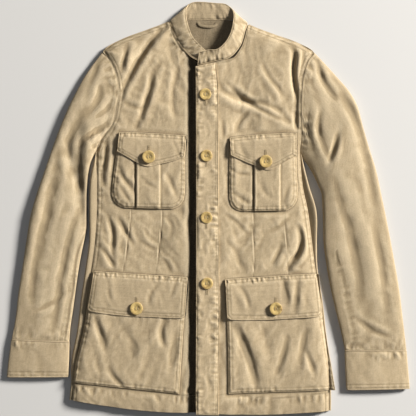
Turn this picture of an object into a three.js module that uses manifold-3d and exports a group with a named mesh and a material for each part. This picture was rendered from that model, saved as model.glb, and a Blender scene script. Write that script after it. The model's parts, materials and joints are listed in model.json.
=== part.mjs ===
// Safari jacket laid out flat with its front up: cotton drill, stand collar, four patch pockets.
// Millimetres. +X is the wearer's left, +Y runs to the collar, +Z is up from the surface it lies on.
import * as THREE from 'three';
import { mergeVertices } from 'three/addons/utils/BufferGeometryUtils.js';
import Module from 'manifold-3d';

const wasm = await Module();
wasm.setup();

// Driving sizes
const CLOTH = 1.3;            // thickness of a cloth wall
const DOUBLE_CLOTH = 1.8;     // collar and cuffs, two layers sewn together
const SEAM_GAP = 0.4;         // between pieces that are sewn edge to edge
const LAYER_GAP = 0.6;        // between a piece and what it lies on
const BODY_LOFT = 12;         // height of the fronts over the surface
const EDGE_ROLL = 26;         // how far in from an edge the fronts reach that height
const MID_EDGE = 5.5;         // height of a rolled edge, half way up
const OVERLAP_STEP = 2.2;     // the left front lies this much higher where it covers the right one
const OVERLAP_START = 34;
const OVERLAP_END = 66;
const NEAR_POCKET = 9;        // folds fade out this far from a pocket
const FLAP_RAMP = 9;          // a flap rises over its pocket's top edge within this length
const FLAP_STAND = 1;         // and stands off the pocket by this much
const POCKET_PUFF = 2.2;      // how far a pocket stands off the front in its middle
const PUFF_REACH = 20;
const PLEAT_RISE = 1.4;       // of the box pleat on a chest pocket

// Fronts: rows from the hem up. s is the side, armhole and shoulder edge, c the centre and neck edge.
const rightFrontRows = [
  { sx: -259.5, sy: -366, cx: 21, cy: -390.5, bow: 7.5 },
  { sx: -256.5, sy: -335.5, cx: 21, cy: -362, bow: 5.5 },
  { sx: -251, sy: -290, cx: 21, cy: -301, bow: 0 },
  { sx: -238.5, sy: -233, cx: 21, cy: -236.5, bow: 0 },
  { sx: -230, sy: -176, cx: 21, cy: -176, bow: 0 },
  { sx: -221.5, sy: -119, cx: 21, cy: -119, bow: 0 },
  { sx: -214, sy: -62, cx: 21, cy: -62, bow: 0 },
  { sx: -210.5, sy: -5, cx: 21, cy: -5, bow: 0 },
  { sx: -210.5, sy: 52, cx: 21, cy: 52, bow: 0 },
  { sx: -211, sy: 107.5, cx: 21, cy: 105.5, bow: 0 },
  { sx: -197.5, sy: 136, cx: 21, cy: 134, bow: 0 },
  { sx: -180.5, sy: 158.5, cx: 21, cy: 158.5, bow: 0 },
  { sx: -173, sy: 191, cx: 21, cy: 185, bow: 0 },
  { sx: -168, sy: 221.5, cx: 21, cy: 208, bow: 0 },
  { sx: -175, sy: 255.5, cx: 21, cy: 227, bow: 0 },
  { sx: -186, sy: 280, cx: 21, cy: 244, bow: 0 },
  { sx: -198.5, sy: 299, cx: 15, cy: 263, bow: 0 },
  { sx: -163.5, sy: 320, cx: -11.5, cy: 274.5, bow: 0 },
  { sx: -119.5, sy: 336.5, cx: -39, cy: 291.5, bow: 0 },
  { sx: -91, sy: 347, cx: -59, cy: 314.5, bow: 0 },
  { sx: -75, sy: 353.5, cx: -69.5, cy: 339, bow: 0 },
];
const leftFrontRows = [
  { sx: 231, sy: -386.5, cx: -21, cy: -389.5, bow: 5 },
  { sx: 231, sy: -352.5, cx: -21, cy: -360, bow: 4 },
  { sx: 229, sy: -299, cx: -21, cy: -301, bow: 0 },
  { sx: 221.5, sy: -236.5, cx: -21, cy: -236.5, bow: 0 },
  { sx: 214.5, sy: -176, cx: -21, cy: -176, bow: 0 },
  { sx: 205, sy: -119, cx: -21, cy: -119, bow: 0 },
  { sx: 198.5, sy: -67.5, cx: -21, cy: -62, bow: 0 },
  { sx: 191, sy: -8.5, cx: -20, cy: -5, bow: 0 },
  { sx: 180.5, sy: 43, cx: -20, cy: 50.5, bow: 0 },
  { sx: 175.5, sy: 103.5, cx: -21, cy: 103.5, bow: 0 },
  { sx: 177.5, sy: 130, cx: -22, cy: 130, bow: 0 },
  { sx: 177.5, sy: 157, cx: -22, cy: 155, bow: 0 },
  { sx: 176.5, sy: 189, cx: -22, cy: 177.5, bow: 0 },
  { sx: 178, sy: 223, cx: -22, cy: 200.5, bow: 0 },
  { sx: 182.5, sy: 255.5, cx: -22, cy: 223, bow: 0 },
  { sx: 191, sy: 280, cx: -21, cy: 246, bow: 0 },
  { sx: 200.5, sy: 296, cx: -20, cy: 268, bow: 0 },
  { sx: 167, sy: 314.5, cx: 17, cy: 275.5, bow: 0 },
  { sx: 127.5, sy: 328.5, cx: 43.5, cy: 280, bow: 0 },
  { sx: 95, sy: 340.5, cx: 63.5, cy: 305, bow: 0 },
  { sx: 78, sy: 348, cx: 73, cy: 335.5, bow: 0 },
];
const UNDERARM_ROW = 9;
const SHOULDER_ROW = 16;

// Sides of the back, which roll up round the body: seam is where the front begins, edge the outline.
const rightSideRows = [
  { y: -368, seam: -260, edge: -264, crest: 7, seamHeight: 6.6 },
  { y: -331.5, seam: -256, edge: -261, crest: 7.5, seamHeight: 7 },
  { y: -290, seam: -251, edge: -259.5, crest: 8.5, seamHeight: 7.5 },
  { y: -233, seam: -238.5, edge: -249, crest: 9.5, seamHeight: 8 },
  { y: -176, seam: -230, edge: -242, crest: 10.5, seamHeight: 8.5 },
  { y: -119, seam: -221.5, edge: -233.5, crest: 11.5, seamHeight: 9 },
  { y: -62, seam: -214, edge: -226, crest: 12.5, seamHeight: 9.5 },
  { y: -5, seam: -210.5, edge: -226, crest: 13, seamHeight: 10 },
  { y: 52, seam: -210.5, edge: -224, crest: 12.5, seamHeight: 9.5 },
  { y: 107, seam: -211, edge: -213, crest: 8, seamHeight: 6 },
];
const leftSideRows = [
  { y: -388, seam: 231, edge: 234.5, crest: 5, seamHeight: 4.4 },
  { y: -352.5, seam: 231, edge: 234.5, crest: 5, seamHeight: 4.4 },
  { y: -299, seam: 229, edge: 232.5, crest: 5, seamHeight: 4.4 },
  { y: -236.5, seam: 221.5, edge: 225, crest: 5, seamHeight: 4.4 },
  { y: -176, seam: 214.5, edge: 218, crest: 5, seamHeight: 4.4 },
  { y: -119, seam: 205, edge: 209, crest: 5, seamHeight: 4.4 },
  { y: -67.5, seam: 198.5, edge: 207.5, crest: 7, seamHeight: 4.4 },
  { y: -8.5, seam: 191, edge: 206.5, crest: 10, seamHeight: 4.4 },
  { y: 43, seam: 180.5, edge: 192, crest: 9, seamHeight: 4.6 },
  { y: 103, seam: 175.5, edge: 178, crest: 7, seamHeight: 5 },
];
const BACK_EASE = 0.25;       // a little more room where the back meets the fronts and sleeves
const SIDE_ROLL = 9;          // how far in from its outline the back reaches the surface

// Sleeves: stations from the armhole to the cuff, o on the outer edge and i on the inner edge.
const rightSleeveRows = [
  { ox: -198.5, oy: 299, ix: -211, iy: 107.5, crown: 13 },
  { ox: -213, oy: 280, ix: -216.5, iy: 100, crown: 13.5 },
  { ox: -232, oy: 253.5, ix: -223.5, iy: 84.5, crown: 14 },
  { ox: -249, oy: 223, ix: -228, iy: 63.5, crown: 14.5 },
  { ox: -265, oy: 191, ix: -230, iy: 37, crown: 15 },
  { ox: -282, oy: 151, ix: -230.5, iy: 10.5, crown: 15 },
  { ox: -298.5, oy: 105.5, ix: -230.5, iy: -16, crown: 15 },
  { ox: -313.5, oy: 62, ix: -231, iy: -39, crown: 15 },
  { ox: -327, oy: 22, ix: -236, iy: -65.5, crown: 15 },
  { ox: -338, oy: -18, ix: -242, iy: -94, crown: 14.5 },
  { ox: -346, oy: -67.5, ix: -247.5, iy: -126.5, crown: 14 },
  { ox: -353.5, oy: -117, ix: -252, iy: -158.5, crown: 13.5 },
  { ox: -360.5, oy: -162.5, ix: -256.5, iy: -193, crown: 12.5 },
  { ox: -366, oy: -210, ix: -261.5, iy: -225, crown: 11.5 },
  { ox: -373.5, oy: -250, ix: -264, iy: -254.5, crown: 10.5 },
];
const leftSleeveRows = [
  { ox: 200.5, oy: 296, ix: 175.5, iy: 103.5, crown: 13 },
  { ox: 214.5, oy: 282, ix: 182.5, iy: 90, crown: 13.5 },
  { ox: 232, oy: 263, ix: 192, iy: 77, crown: 14 },
  { ox: 249, oy: 244, ix: 200.5, iy: 62, crown: 14.5 },
  { ox: 268, oy: 221.5, ix: 209, iy: 43.5, crown: 15 },
  { ox: 284, oy: 193, ix: 216, iy: 25.5, crown: 15.5 },
  { ox: 294.5, oy: 155, ix: 217.5, iy: 5, crown: 15.5 },
  { ox: 306, oy: 115, ix: 218.5, iy: -18, crown: 15.5 },
  { ox: 319, oy: 73, ix: 219, iy: -44.5, crown: 15.5 },
  { ox: 329.5, oy: 25.5, ix: 220.5, iy: -73, crown: 15 },
  { ox: 341.5, oy: -33, ix: 225.5, iy: -111, crown: 14.5 },
  { ox: 353, oy: -94, ix: 232, iy: -147, crown: 14 },
  { ox: 363.5, oy: -155, ix: 240.5, iy: -185, crown: 13 },
  { ox: 371, oy: -215.5, ix: 252.5, iy: -234.5, crown: 12 },
  { ox: 377.5, oy: -271.5, ix: 260.5, iy: -271, crown: 10.5 },
];
const rightCuffRows = [
  { ox: -374, oy: -250.5, ix: -263.6, iy: -255, crown: 10.6 },
  { ox: -379, oy: -286, ix: -264.5, iy: -290, crown: 10.4 },
  { ox: -383, oy: -323, ix: -266, iy: -322.5, crown: 10 },
];
const leftCuffRows = [
  { ox: 378, oy: -272, ix: 260, iy: -271.5, crown: 10.6 },
  { ox: 381, oy: -309, ix: 261.5, iy: -310.5, crown: 10.4 },
  { ox: 384, oy: -345, ix: 263.5, iy: -347.5, crown: 10 },
];

// Stand collar from the placket round the neck: b on the neck seam, t on the top edge, heights mid-wall.
const collarRows = [
  { bx: -20, by: 269.4, bz: 14.6, tx: -17, ty: 293.5, tz: 20 },
  { bx: -2, by: 273.2, bz: 14.6, tx: -1, ty: 297.5, tz: 20.5 },
  { bx: 17, by: 277.7, bz: 14.4, tx: 17, ty: 299, tz: 21 },
  { bx: 41, by: 283.6, bz: 13.6, tx: 32, ty: 311.5, tz: 21 },
  { bx: 61.5, by: 306.5, bz: 12, tx: 42, ty: 329.5, tz: 19 },
  { bx: 71, by: 336, bz: 9.5, tx: 47, ty: 350, tz: 15.5 },
  { bx: 75, by: 350, bz: 6, tx: 48, ty: 368, tz: 10 },
  { bx: 64, by: 356, bz: 2.6, tx: 43, ty: 380, tz: 5 },
  { bx: 46, by: 357.5, bz: 1.4, tx: 33, ty: 388, tz: 2.6 },
  { bx: 22, by: 357.5, bz: 1.4, tx: 13.5, ty: 390, tz: 2.2 },
  { bx: -6, by: 357.5, bz: 1.4, tx: -9.5, ty: 392, tz: 2.2 },
  { bx: -34, by: 358, bz: 1.4, tx: -27, ty: 391.5, tz: 2.8 },
  { bx: -58, by: 359, bz: 2.6, tx: -37, ty: 386, tz: 5.2 },
  { bx: -72.5, by: 354.5, bz: 6, tx: -41.5, ty: 373, tz: 10.5 },
  { bx: -68.5, by: 340, bz: 9.5, tx: -39, ty: 351, tz: 14.5 },
  { bx: -58, by: 315.5, bz: 12, tx: -29.5, ty: 324, tz: 17 },
  { bx: -38, by: 292.5, bz: 12.4, tx: -11.5, ty: 303.5, tz: 16 },
  { bx: -17, by: 280, bz: 12.2, tx: 3, ty: 293, tz: 14.6 },
];

// Placket strip on the left front, from the hem to the collar.
const placketRows = [
  { lx: -22.5, ly: -392, rx: 20, ry: -393 },
  { lx: -23, ly: -340, rx: 20, ry: -341 },
  { lx: -22.5, ly: -160, rx: 21, ry: -160 },
  { lx: -22.5, ly: 60, rx: 20, ry: 60 },
  { lx: -23, ly: 200, rx: 20, ry: 203 },
  { lx: -23.5, ly: 267, rx: 15, ry: 274 },
];

// Patch pockets, rows from the top edge down: l and r are the sides.
const rightChestPocketRows = [
  { lx: -170, ly: 130, rx: -42, ry: 126.5 },
  { lx: -175, ly: 94, rx: -43, ry: 90 },
  { lx: -179.5, ly: 60, rx: -43, ry: 56 },
  { lx: -182, ly: 33, rx: -43.5, ry: 29.5 },
  { lx: -180, ly: 18, rx: -46, ry: 14 },
  { lx: -172, ly: 6, rx: -54, ry: 3.5 },
  { lx: -158, ly: -1, rx: -68, ry: -3 },
];
const leftChestPocketRows = [
  { lx: 41.5, ly: 124, rx: 168, ry: 128.5 },
  { lx: 40.5, ly: 90, rx: 168, ry: 94 },
  { lx: 40, ly: 56, rx: 169, ry: 60 },
  { lx: 40, ly: 29.5, rx: 170, ry: 33 },
  { lx: 42, ly: 11, rx: 169, ry: 15 },
  { lx: 50, ly: -1.5, rx: 162, ry: 2.5 },
  { lx: 65, ly: -7.5, rx: 149, ry: -6 },
];
const rightLowerPocketRows = [
  { lx: -218.5, ly: -136, rx: -40, ry: -147 },
  { lx: -228, ly: -181.5, rx: -43, ry: -189 },
  { lx: -234.5, ly: -225, rx: -46.5, ry: -229 },
  { lx: -243, ly: -261, rx: -49, ry: -267 },
  { lx: -251, ly: -293.5, rx: -51.5, ry: -305 },
  { lx: -256, ly: -332, rx: -54.5, ry: -353.5 },
];
const leftLowerPocketRows = [
  { lx: 34, ly: -151, rx: 204, ry: -147 },
  { lx: 35, ly: -191, rx: 215.5, ry: -183.5 },
  { lx: 36.5, ly: -233, rx: 221.5, ry: -225 },
  { lx: 37.5, ly: -271, rx: 228, ry: -265 },
  { lx: 38, ly: -309, rx: 235, ry: -305 },
  { lx: 38.5, ly: -353, rx: 241.5, ry: -346.5 },
];

// Pocket flaps, columns from left to right: t on the seam, b on the free edge.
const rightChestFlapColumns = [
  { tx: -168, ty: 142.5, bx: -172, by: 106.5 },
  { tx: -148, ty: 142.5, bx: -150, by: 94 },
  { tx: -125.5, ty: 141.5, bx: -129, by: 82.5 },
  { tx: -110, ty: 140.5, bx: -112, by: 77.5 },
  { tx: -91, ty: 139.5, bx: -91, by: 82 },
  { tx: -66.5, ty: 138, bx: -67.5, by: 87.5 },
  { tx: -41, ty: 136, bx: -44.5, by: 96 },
];
const leftChestFlapColumns = [
  { tx: 41, ty: 132, bx: 43, by: 99 },
  { tx: 62.5, ty: 135, bx: 64.5, by: 89 },
  { tx: 87.5, ty: 137.5, bx: 91, by: 78.5 },
  { tx: 110, ty: 139, bx: 115, by: 71 },
  { tx: 131, ty: 140, bx: 135, by: 79 },
  { tx: 150, ty: 141, bx: 153, by: 89.5 },
  { tx: 168, ty: 141.5, bx: 168, by: 97 },
];
const rightLowerFlapColumns = [
  { tx: -216.5, ty: -120.5, bx: -227.5, by: -190 },
  { tx: -209, ty: -121, bx: -219.5, by: -196.5 },
  { tx: -157.5, ty: -124.5, bx: -163.5, by: -204 },
  { tx: -99, ty: -128, bx: -106.5, by: -207 },
  { tx: -46.5, ty: -131.5, bx: -52, by: -209 },
  { tx: -38.5, ty: -132.5, bx: -43.5, by: -204 },
];
const leftLowerFlapColumns = [
  { tx: 32.5, ty: -136, bx: 35.5, by: -202.5 },
  { tx: 40, ty: -135.5, bx: 43.5, by: -211.5 },
  { tx: 91, ty: -132, bx: 95, by: -212.5 },
  { tx: 150, ty: -128, bx: 154, by: -210 },
  { tx: 203.5, ty: -125.5, bx: 209, by: -206 },
  { tx: 210.5, ty: -129, bx: 217, by: -200.5 },
];

// Folds: an arc through three points, how far it reaches to each side, and its depth.
const rightFrontFolds = [
  { x1: -82, y1: 345, x2: -127, y2: 288, x3: -169, y3: 208, reach: 10, depth: 3.2 },
  { x1: -152, y1: 313, x2: -158, y2: 288, x3: -163, y3: 261, reach: 8, depth: 1.5 },
  { x1: -91, y1: 273, x2: -114, y2: 214, x3: -139, y3: 147, reach: 12, depth: 1.6 },
  { x1: -192, y1: 132, x2: -196, y2: 90, x3: -198, y3: 43, reach: 8, depth: 1.5 },
  { x1: -198, y1: -81, x2: -184, y2: -100, x3: -179, y3: -115, reach: 8, depth: 1.6 },
  { x1: -186, y1: -28, x2: -179, y2: -58, x3: -179, y3: -85, reach: 8, depth: 1.2 },
  { x1: -169, y1: -20, x2: -156, y2: -47, x3: -144, y3: -66, reach: 8, depth: 1.2 },
];
const leftFrontFolds = [
  { x1: 163, y1: 313, x2: 162, y2: 257, x3: 168, y3: 210, reach: 8, depth: 2.4 },
  { x1: 165, y1: 181, x2: 166, y2: 165, x3: 167, y3: 150, reach: 8, depth: 2 },
  { x1: 40, y1: 232, x2: 80, y2: 197, x3: 150, y3: 163, reach: 9, depth: 2.4 },
  { x1: 72, y1: 178, x2: 61, y2: 165, x3: 55, y3: 152, reach: 8, depth: 1.2 },
  { x1: 172, y1: -38, x2: 172, y2: -80, x3: 154, y3: -112, reach: 9, depth: 2.2 },
  { x1: 139, y1: -71, x2: 131, y2: -90, x3: 122, y3: -105, reach: 8, depth: 1.2 },
];
const rightLowerPocketFolds = [
  { x1: -211, y1: -214, x2: -203, y2: -238, x3: -196, y3: -267, reach: 9, depth: 1.6 },
  { x1: -188, y1: -305, x2: -175, y2: -325, x3: -158, y3: -340, reach: 8, depth: 1.4 },
  { x1: -80, y1: -216, x2: -89, y2: -238, x3: -82, y3: -261, reach: 8, depth: 1.5 },
  { x1: -62, y1: -240, x2: -66, y2: -275, x3: -70, y3: -305, reach: 10, depth: 1.8 },
];
const leftLowerPocketFolds = [
  { x1: 52, y1: -225, x2: 74, y2: -275, x3: 91, y3: -340, reach: 11, depth: 2.6 },
  { x1: 150, y1: -248, x2: 141, y2: -284, x3: 131, y3: -313, reach: 8, depth: 1.5 },
  { x1: 186, y1: -233, x2: 179, y2: -257, x3: 175, y3: -294, reach: 8, depth: 1.5 },
  { x1: 186, y1: -271, x2: 194, y2: -294, x3: 201, y3: -313, reach: 8, depth: 1.2 },
];
const rightSleeveFolds = [
  { x1: -208, y1: 277, x2: -213, y2: 262, x3: -220, y3: 238, reach: 9, depth: 1.8 },
  { x1: -195, y1: 155, x2: -215, y2: 141, x3: -239, y3: 124, reach: 10, depth: 2.8 },
  { x1: -240, y1: 189, x2: -262, y2: 128, x3: -248, y3: 18, reach: 18, depth: 1.4 },
  { x1: -243, y1: -60, x2: -260, y2: -147, x3: -276, y3: -240, reach: 9, depth: 1.4 },
  { x1: -281, y1: 109, x2: -310, y2: -43, x3: -334, y3: -214, reach: 15, depth: 1.2 },
];
const leftSleeveFolds = [
  { x1: 207, y1: 278, x2: 215, y2: 250, x3: 241, y3: 208, reach: 9, depth: 2.2 },
  { x1: 255, y1: 215, x2: 272, y2: 180, x3: 286, y3: 143, reach: 14, depth: 2.2 },
  { x1: 286, y1: 143, x2: 308, y2: 52, x3: 325, y3: -43, reach: 14, depth: 1.5 },
  { x1: 186, y1: 150, x2: 192, y2: 134, x3: 200, y3: 112, reach: 8, depth: 2 },
  { x1: 245, y1: 138, x2: 240, y2: 113, x3: 233, y3: 90, reach: 9, depth: 1.6 },
  { x1: 248, y1: -100, x2: 263, y2: -161, x3: 279, y3: -240, reach: 9, depth: 1.2 },
  { x1: 260, y1: 61, x2: 276, y2: -24, x3: 295, y3: -138, reach: 16, depth: 1.4 },
];

// Buttons: places on the placket and flaps.
const buttonRows = [
  { name: 'button_placket_1', x: -5, y: 214, across: 22, on: 'placket' },
  { name: 'button_placket_2', x: -3, y: 98, across: 22, on: 'placket' },
  { name: 'button_placket_3', x: -3, y: -19, across: 22, on: 'placket' },
  { name: 'button_placket_4', x: -2, y: -143.5, across: 22, on: 'placket' },
  { name: 'button_chest_right', x: -112, y: 95.5, across: 24, on: 'chest_right' },
  { name: 'button_chest_left', x: 109, y: 87, across: 24, on: 'chest_left' },
  { name: 'button_lower_right', x: -135, y: -190.5, across: 24, on: 'lower_right' },
  { name: 'button_lower_left', x: 128, y: -191, across: 24, on: 'lower_left' },
];

// Finishes
const drill = { color: 0xb8a682, roughness: 0.92, metalness: 0 };
const horn = { color: 0xc7a463, roughness: 0.42, metalness: 0 };

// Small helpers
const clamp = (value, low = 0, high = 1) => Math.min(high, Math.max(low, value));
const mix = (a, b, t) => a + (b - a) * t;
const ease = (t) => { const c = clamp(t); return c * c * (3 - 2 * c); };
const roll = (t) => Math.sqrt(1 - (1 - clamp(t)) ** 2);

const evenly = (from, to, count) => Array.from({ length: count }, (_, k) => mix(from, to, k / count));

// Places along the rows of a front or the back: up the side, round the armhole, over the shoulder.
const ARMHOLE_STEPS = 9;
const bodyStations = [
  ...evenly(0, UNDERARM_ROW, 14), ...evenly(UNDERARM_ROW, SHOULDER_ROW, ARMHOLE_STEPS),
  ...evenly(SHOULDER_ROW, rightFrontRows.length - 1, 5), rightFrontRows.length - 1,
];

// Rows of a table at the given places along it, on a smooth curve; a number asks for that many equal steps.
function resample(rows, places, keys) {
  const last = rows.length - 1;
  const list = Array.isArray(places) ? places : [...evenly(0, last, places), last];
  return list.map((at) => {
    const i = Math.min(Math.floor(at), last - 1);
    const t = at - i;
    const before = rows[Math.max(i - 1, 0)];
    const after = rows[Math.min(i + 2, last)];
    const row = {};
    for (const key of keys) {
      const a = rows[i][key];
      const b = rows[i + 1][key];
      const slopeA = (b - before[key]) / 2;
      const slopeB = (after[key] - a) / 2;
      row[key] = (2 * t ** 3 - 3 * t * t + 1) * a + (t ** 3 - 2 * t * t + t) * slopeA
        + (3 * t * t - 2 * t ** 3) * b + (t ** 3 - t * t) * slopeB;
    }
    return row;
  });
}

// The nearest place on a line of points: its distance, and how far along it lies from 0 to 1.
function nearest(line, x, y) {
  let best = { distance: Infinity, along: 0 };
  for (let k = 0; k < line.length - 1; k++) {
    const a = line[k];
    const b = line[k + 1];
    const dx = b.x - a.x;
    const dy = b.y - a.y;
    const t = clamp(((x - a.x) * dx + (y - a.y) * dy) / (dx * dx + dy * dy));
    const distance = Math.hypot(x - a.x - dx * t, y - a.y - dy * t);
    if (distance < best.distance) best = { distance, along: (k + t) / (line.length - 1) };
  }
  return best;
}

// The arc of a fold through its three points.
function foldLine(fold) {
  const pieces = 6;
  return Array.from({ length: pieces + 1 }, (_, k) => {
    const t = (k / pieces) * 2;
    const first = ((t - 1) * (t - 2)) / 2;
    const second = t * (2 - t);
    const third = (t * (t - 1)) / 2;
    return {
      x: fold.x1 * first + fold.x2 * second + fold.x3 * third,
      y: fold.y1 * first + fold.y2 * second + fold.y3 * third,
    };
  });
}

// Depth of all the folds of a panel at one place: a soft trough, shallower towards its ends.
const FOLD_ENDS = 0.12;
function foldDepth(folds, x, y) {
  let depth = 0;
  for (const fold of folds) {
    const { distance, along } = nearest(foldLine(fold), x, y);
    const across = distance / fold.reach;
    if (across >= 1) continue;
    const lengthwise = Math.sin(Math.PI * mix(FOLD_ENDS, 1 - FOLD_ENDS, along));
    depth += fold.depth * (1 - across * across) ** 2 * lengthwise;
  }
  return depth;
}

// A closed wall between an outer and an inner sheet of points; a ring joins its last column to its first.
function wall(outer, inner, ring = false) {
  const rows = outer.length;
  const columns = outer[0].length;
  const points = [...outer.flat(), ...inner.flat()];
  const triangles = [];
  const quad = (a, b, c, d) => triangles.push(a, b, c, a, c, d);
  const top = (i, j) => i * columns + (j % columns);
  const under = (i, j) => rows * columns + top(i, j);
  const strips = ring ? columns : columns - 1;
  const m = rows - 1;
  for (let j = 0; j < strips; j++) {
    for (let i = 0; i < m; i++) {
      quad(top(i, j), top(i, j + 1), top(i + 1, j + 1), top(i + 1, j));
      quad(under(i, j), under(i + 1, j), under(i + 1, j + 1), under(i, j + 1));
    }
    quad(top(0, j), under(0, j), under(0, j + 1), top(0, j + 1));
    quad(top(m, j), top(m, j + 1), under(m, j + 1), under(m, j));
  }
  if (!ring) {
    for (let i = 0; i < m; i++) {
      quad(top(i, 0), top(i + 1, 0), under(i + 1, 0), under(i, 0));
      quad(top(i, strips), under(i, strips), under(i + 1, strips), top(i + 1, strips));
    }
  }
  let volume = 0;
  for (let k = 0; k < triangles.length; k += 3) {
    const [a, b, c] = [points[triangles[k]], points[triangles[k + 1]], points[triangles[k + 2]]];
    volume += a.dot(new THREE.Vector3().crossVectors(b, c));
  }
  if (volume < 0) triangles.reverse();
  const geometry = new THREE.BufferGeometry().setFromPoints(points);
  geometry.setIndex(triangles);
  geometry.computeVertexNormals();
  return geometry;
}

// Normals of a sheet of points, from its rows and columns.
function sheetNormals(sheet, ring = false) {
  const m = sheet.length - 1;
  const n = sheet[0].length - 1;
  return sheet.map((row, i) => row.map((_, j) => {
    const left = ring ? row[(j + n) % (n + 1)] : row[Math.max(j - 1, 0)];
    const right = ring ? row[(j + 1) % (n + 1)] : row[Math.min(j + 1, n)];
    const along = sheet[Math.min(i + 1, m)][j].clone().sub(sheet[Math.max(i - 1, 0)][j]);
    return right.clone().sub(left).cross(along).normalize();
  }));
}

const offsetSheet = (sheet, normals, by) => sheet.map((row, i) => row.map(
  (point, j) => point.clone().addScaledVector(normals[i][j], by)));
const lowered = (sheet, by) => sheet.map((row) => row.map((p) => new THREE.Vector3(p.x, p.y, p.z - by)));

// A front's outline: side seam, armhole and shoulder, each point with the height of the edge.
function frontOutline(rows, sideRows) {
  const sides = resample(sideRows, bodyStations.filter((at) => at < UNDERARM_ROW), ['seamHeight']);
  return resample(rows, bodyStations, ['sx', 'sy']).map((point, k) => {
    const at = bodyStations[k];
    let height = MID_EDGE;
    if (at < UNDERARM_ROW) height = sides[k].seamHeight;
    else if (at < SHOULDER_ROW) height = armholeTop((at - UNDERARM_ROW) / (SHOULDER_ROW - UNDERARM_ROW));
    return { x: point.sx, y: point.sy, height };
  });
}

// Heights round an armhole, by the share of the way from underarm to shoulder.
const SLEEVE_HEAD = 13;
const TOP_ROUNDNESS = 0.6;
const UNDER_ROUNDNESS = 0.5;
const armholeTop = (share) => mix(MID_EDGE, SLEEVE_HEAD, Math.sin(Math.PI * share) ** TOP_ROUNDNESS);
const armholeBottom = (share) => MID_EDGE * (1 - Math.sin(Math.PI * share) ** UNDER_ROUNDNESS);

// How clear of every pocket and flap a place is, from 0 under them to 1 where folds run free.
function clearOf(outlines, x, y) {
  let share = 1;
  for (const outline of outlines) {
    const inside = outline.contains(x, y);
    const distance = inside ? 0 : nearest(outline.line, x, y).distance;
    share = Math.min(share, ease((distance - 2) / NEAR_POCKET));
  }
  return share;
}

function closedOutline(points) {
  const line = [...points, points[0]];
  const contains = (x, y) => {
    let inside = false;
    for (let k = 0; k < line.length - 1; k++) {
      const a = line[k];
      const b = line[k + 1];
      if ((a.y > y) !== (b.y > y) && x < a.x + ((y - a.y) * (b.x - a.x)) / (b.y - a.y)) inside = !inside;
    }
    return inside;
  };
  return { line, contains };
}

const pocketOutline = (rows) => closedOutline([
  ...rows.map((row) => ({ x: row.lx, y: row.ly })),
  ...rows.map((row) => ({ x: row.rx, y: row.ry })).reverse(),
]);
const flapOutline = (columns) => closedOutline([
  ...columns.map((c) => ({ x: c.tx, y: c.ty })),
  ...columns.map((c) => ({ x: c.bx, y: c.by })).reverse(),
]);

// The body: heights of the two fronts over the surface
const FOLDS_FROM_EDGE = 12;
function frontHeight(side, x, y) {
  const { distance, along } = nearest(side.outline, x, y);
  const at = along * (side.outline.length - 1);
  const k = Math.min(Math.floor(at), side.outline.length - 2);
  const edge = mix(side.outline[k].height, side.outline[k + 1].height, at - k);
  const rising = roll(distance / EDGE_ROLL);
  const folds = foldDepth(side.folds, x, y) * clearOf(side.laidOn, x, y) * ease(distance / FOLDS_FROM_EDGE);
  return mix(edge, BODY_LOFT, rising) + side.step(x) - folds;
}

const right = {
  outline: frontOutline(rightFrontRows, rightSideRows),
  folds: rightFrontFolds,
  laidOn: [
    pocketOutline(rightChestPocketRows), pocketOutline(rightLowerPocketRows),
    flapOutline(rightChestFlapColumns), flapOutline(rightLowerFlapColumns),
  ],
  step: () => 0,
};
const left = {
  outline: frontOutline(leftFrontRows, leftSideRows),
  folds: leftFrontFolds,
  laidOn: [
    pocketOutline(leftChestPocketRows), pocketOutline(leftLowerPocketRows),
    flapOutline(leftChestFlapColumns), flapOutline(leftLowerFlapColumns),
  ],
  step: (x) => OVERLAP_STEP * (1 - ease((x - OVERLAP_START) / (OVERLAP_END - OVERLAP_START))),
};

// A front panel: rows across from its outer edge to the centre edge.
function frontPanel(rows, side) {
  const across = 17;
  const sections = resample(rows, bodyStations, ['sx', 'sy', 'cx', 'cy', 'bow']);
  const outward = Math.sign(rows[0].sx);
  const sheet = sections.map((section) => Array.from({ length: across + 1 }, (_, j) => {
    const t = j / across;
    const x = mix(section.sx - outward * SEAM_GAP, section.cx, t);
    const y = mix(section.sy, section.cy, t) - section.bow * Math.sin(Math.PI * t);
    return new THREE.Vector3(x, y, frontHeight(side, x, y));
  }));
  return wall(sheet, lowered(sheet, CLOTH));
}

// Sides of the back at every station: rolled up to the side seam, then along armhole and shoulder.
function backSide(rows, sideRows) {
  const outward = Math.sign(rows[0].sx);
  const below = bodyStations.filter((at) => at < UNDERARM_ROW);
  const sides = resample(sideRows, below, ['seam', 'edge', 'crest', 'seamHeight']);
  return resample(rows, bodyStations, ['sx', 'sy']).map((front, k) => {
    const at = bodyStations[k];
    if (at < UNDERARM_ROW) return { ...sides[k], seam: front.sx + outward * BACK_EASE, y: front.sy };
    const share = (at - UNDERARM_ROW) / (SHOULDER_ROW - UNDERARM_ROW);
    const low = MID_EDGE - CLOTH - SEAM_GAP;
    const height = share < 1 ? Math.min(armholeBottom(share), low) : low;
    const edge = front.sx - outward * (SEAM_GAP + BACK_EASE);
    return { y: front.sy, seam: edge, edge, crest: height, seamHeight: height };
  });
}

// One rolled side, from the seam over the crest and the outline down to the surface.
function rollPoints(side, inward) {
  const width = Math.abs(side.edge - side.seam);
  const crestFromEdge = Math.min(width * 0.4, 2.5);
  const curve = [
    { from: crestFromEdge, up: 0.97 }, { from: 0, up: 0.5 },
    { from: SIDE_ROLL * 0.25, up: 0.12 }, { from: SIDE_ROLL, up: 0 },
  ];
  return [
    { x: side.seam, z: side.seamHeight },
    ...curve.map(({ from, up }) => ({ x: side.edge + inward * from, z: side.crest * up })),
  ];
}

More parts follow.
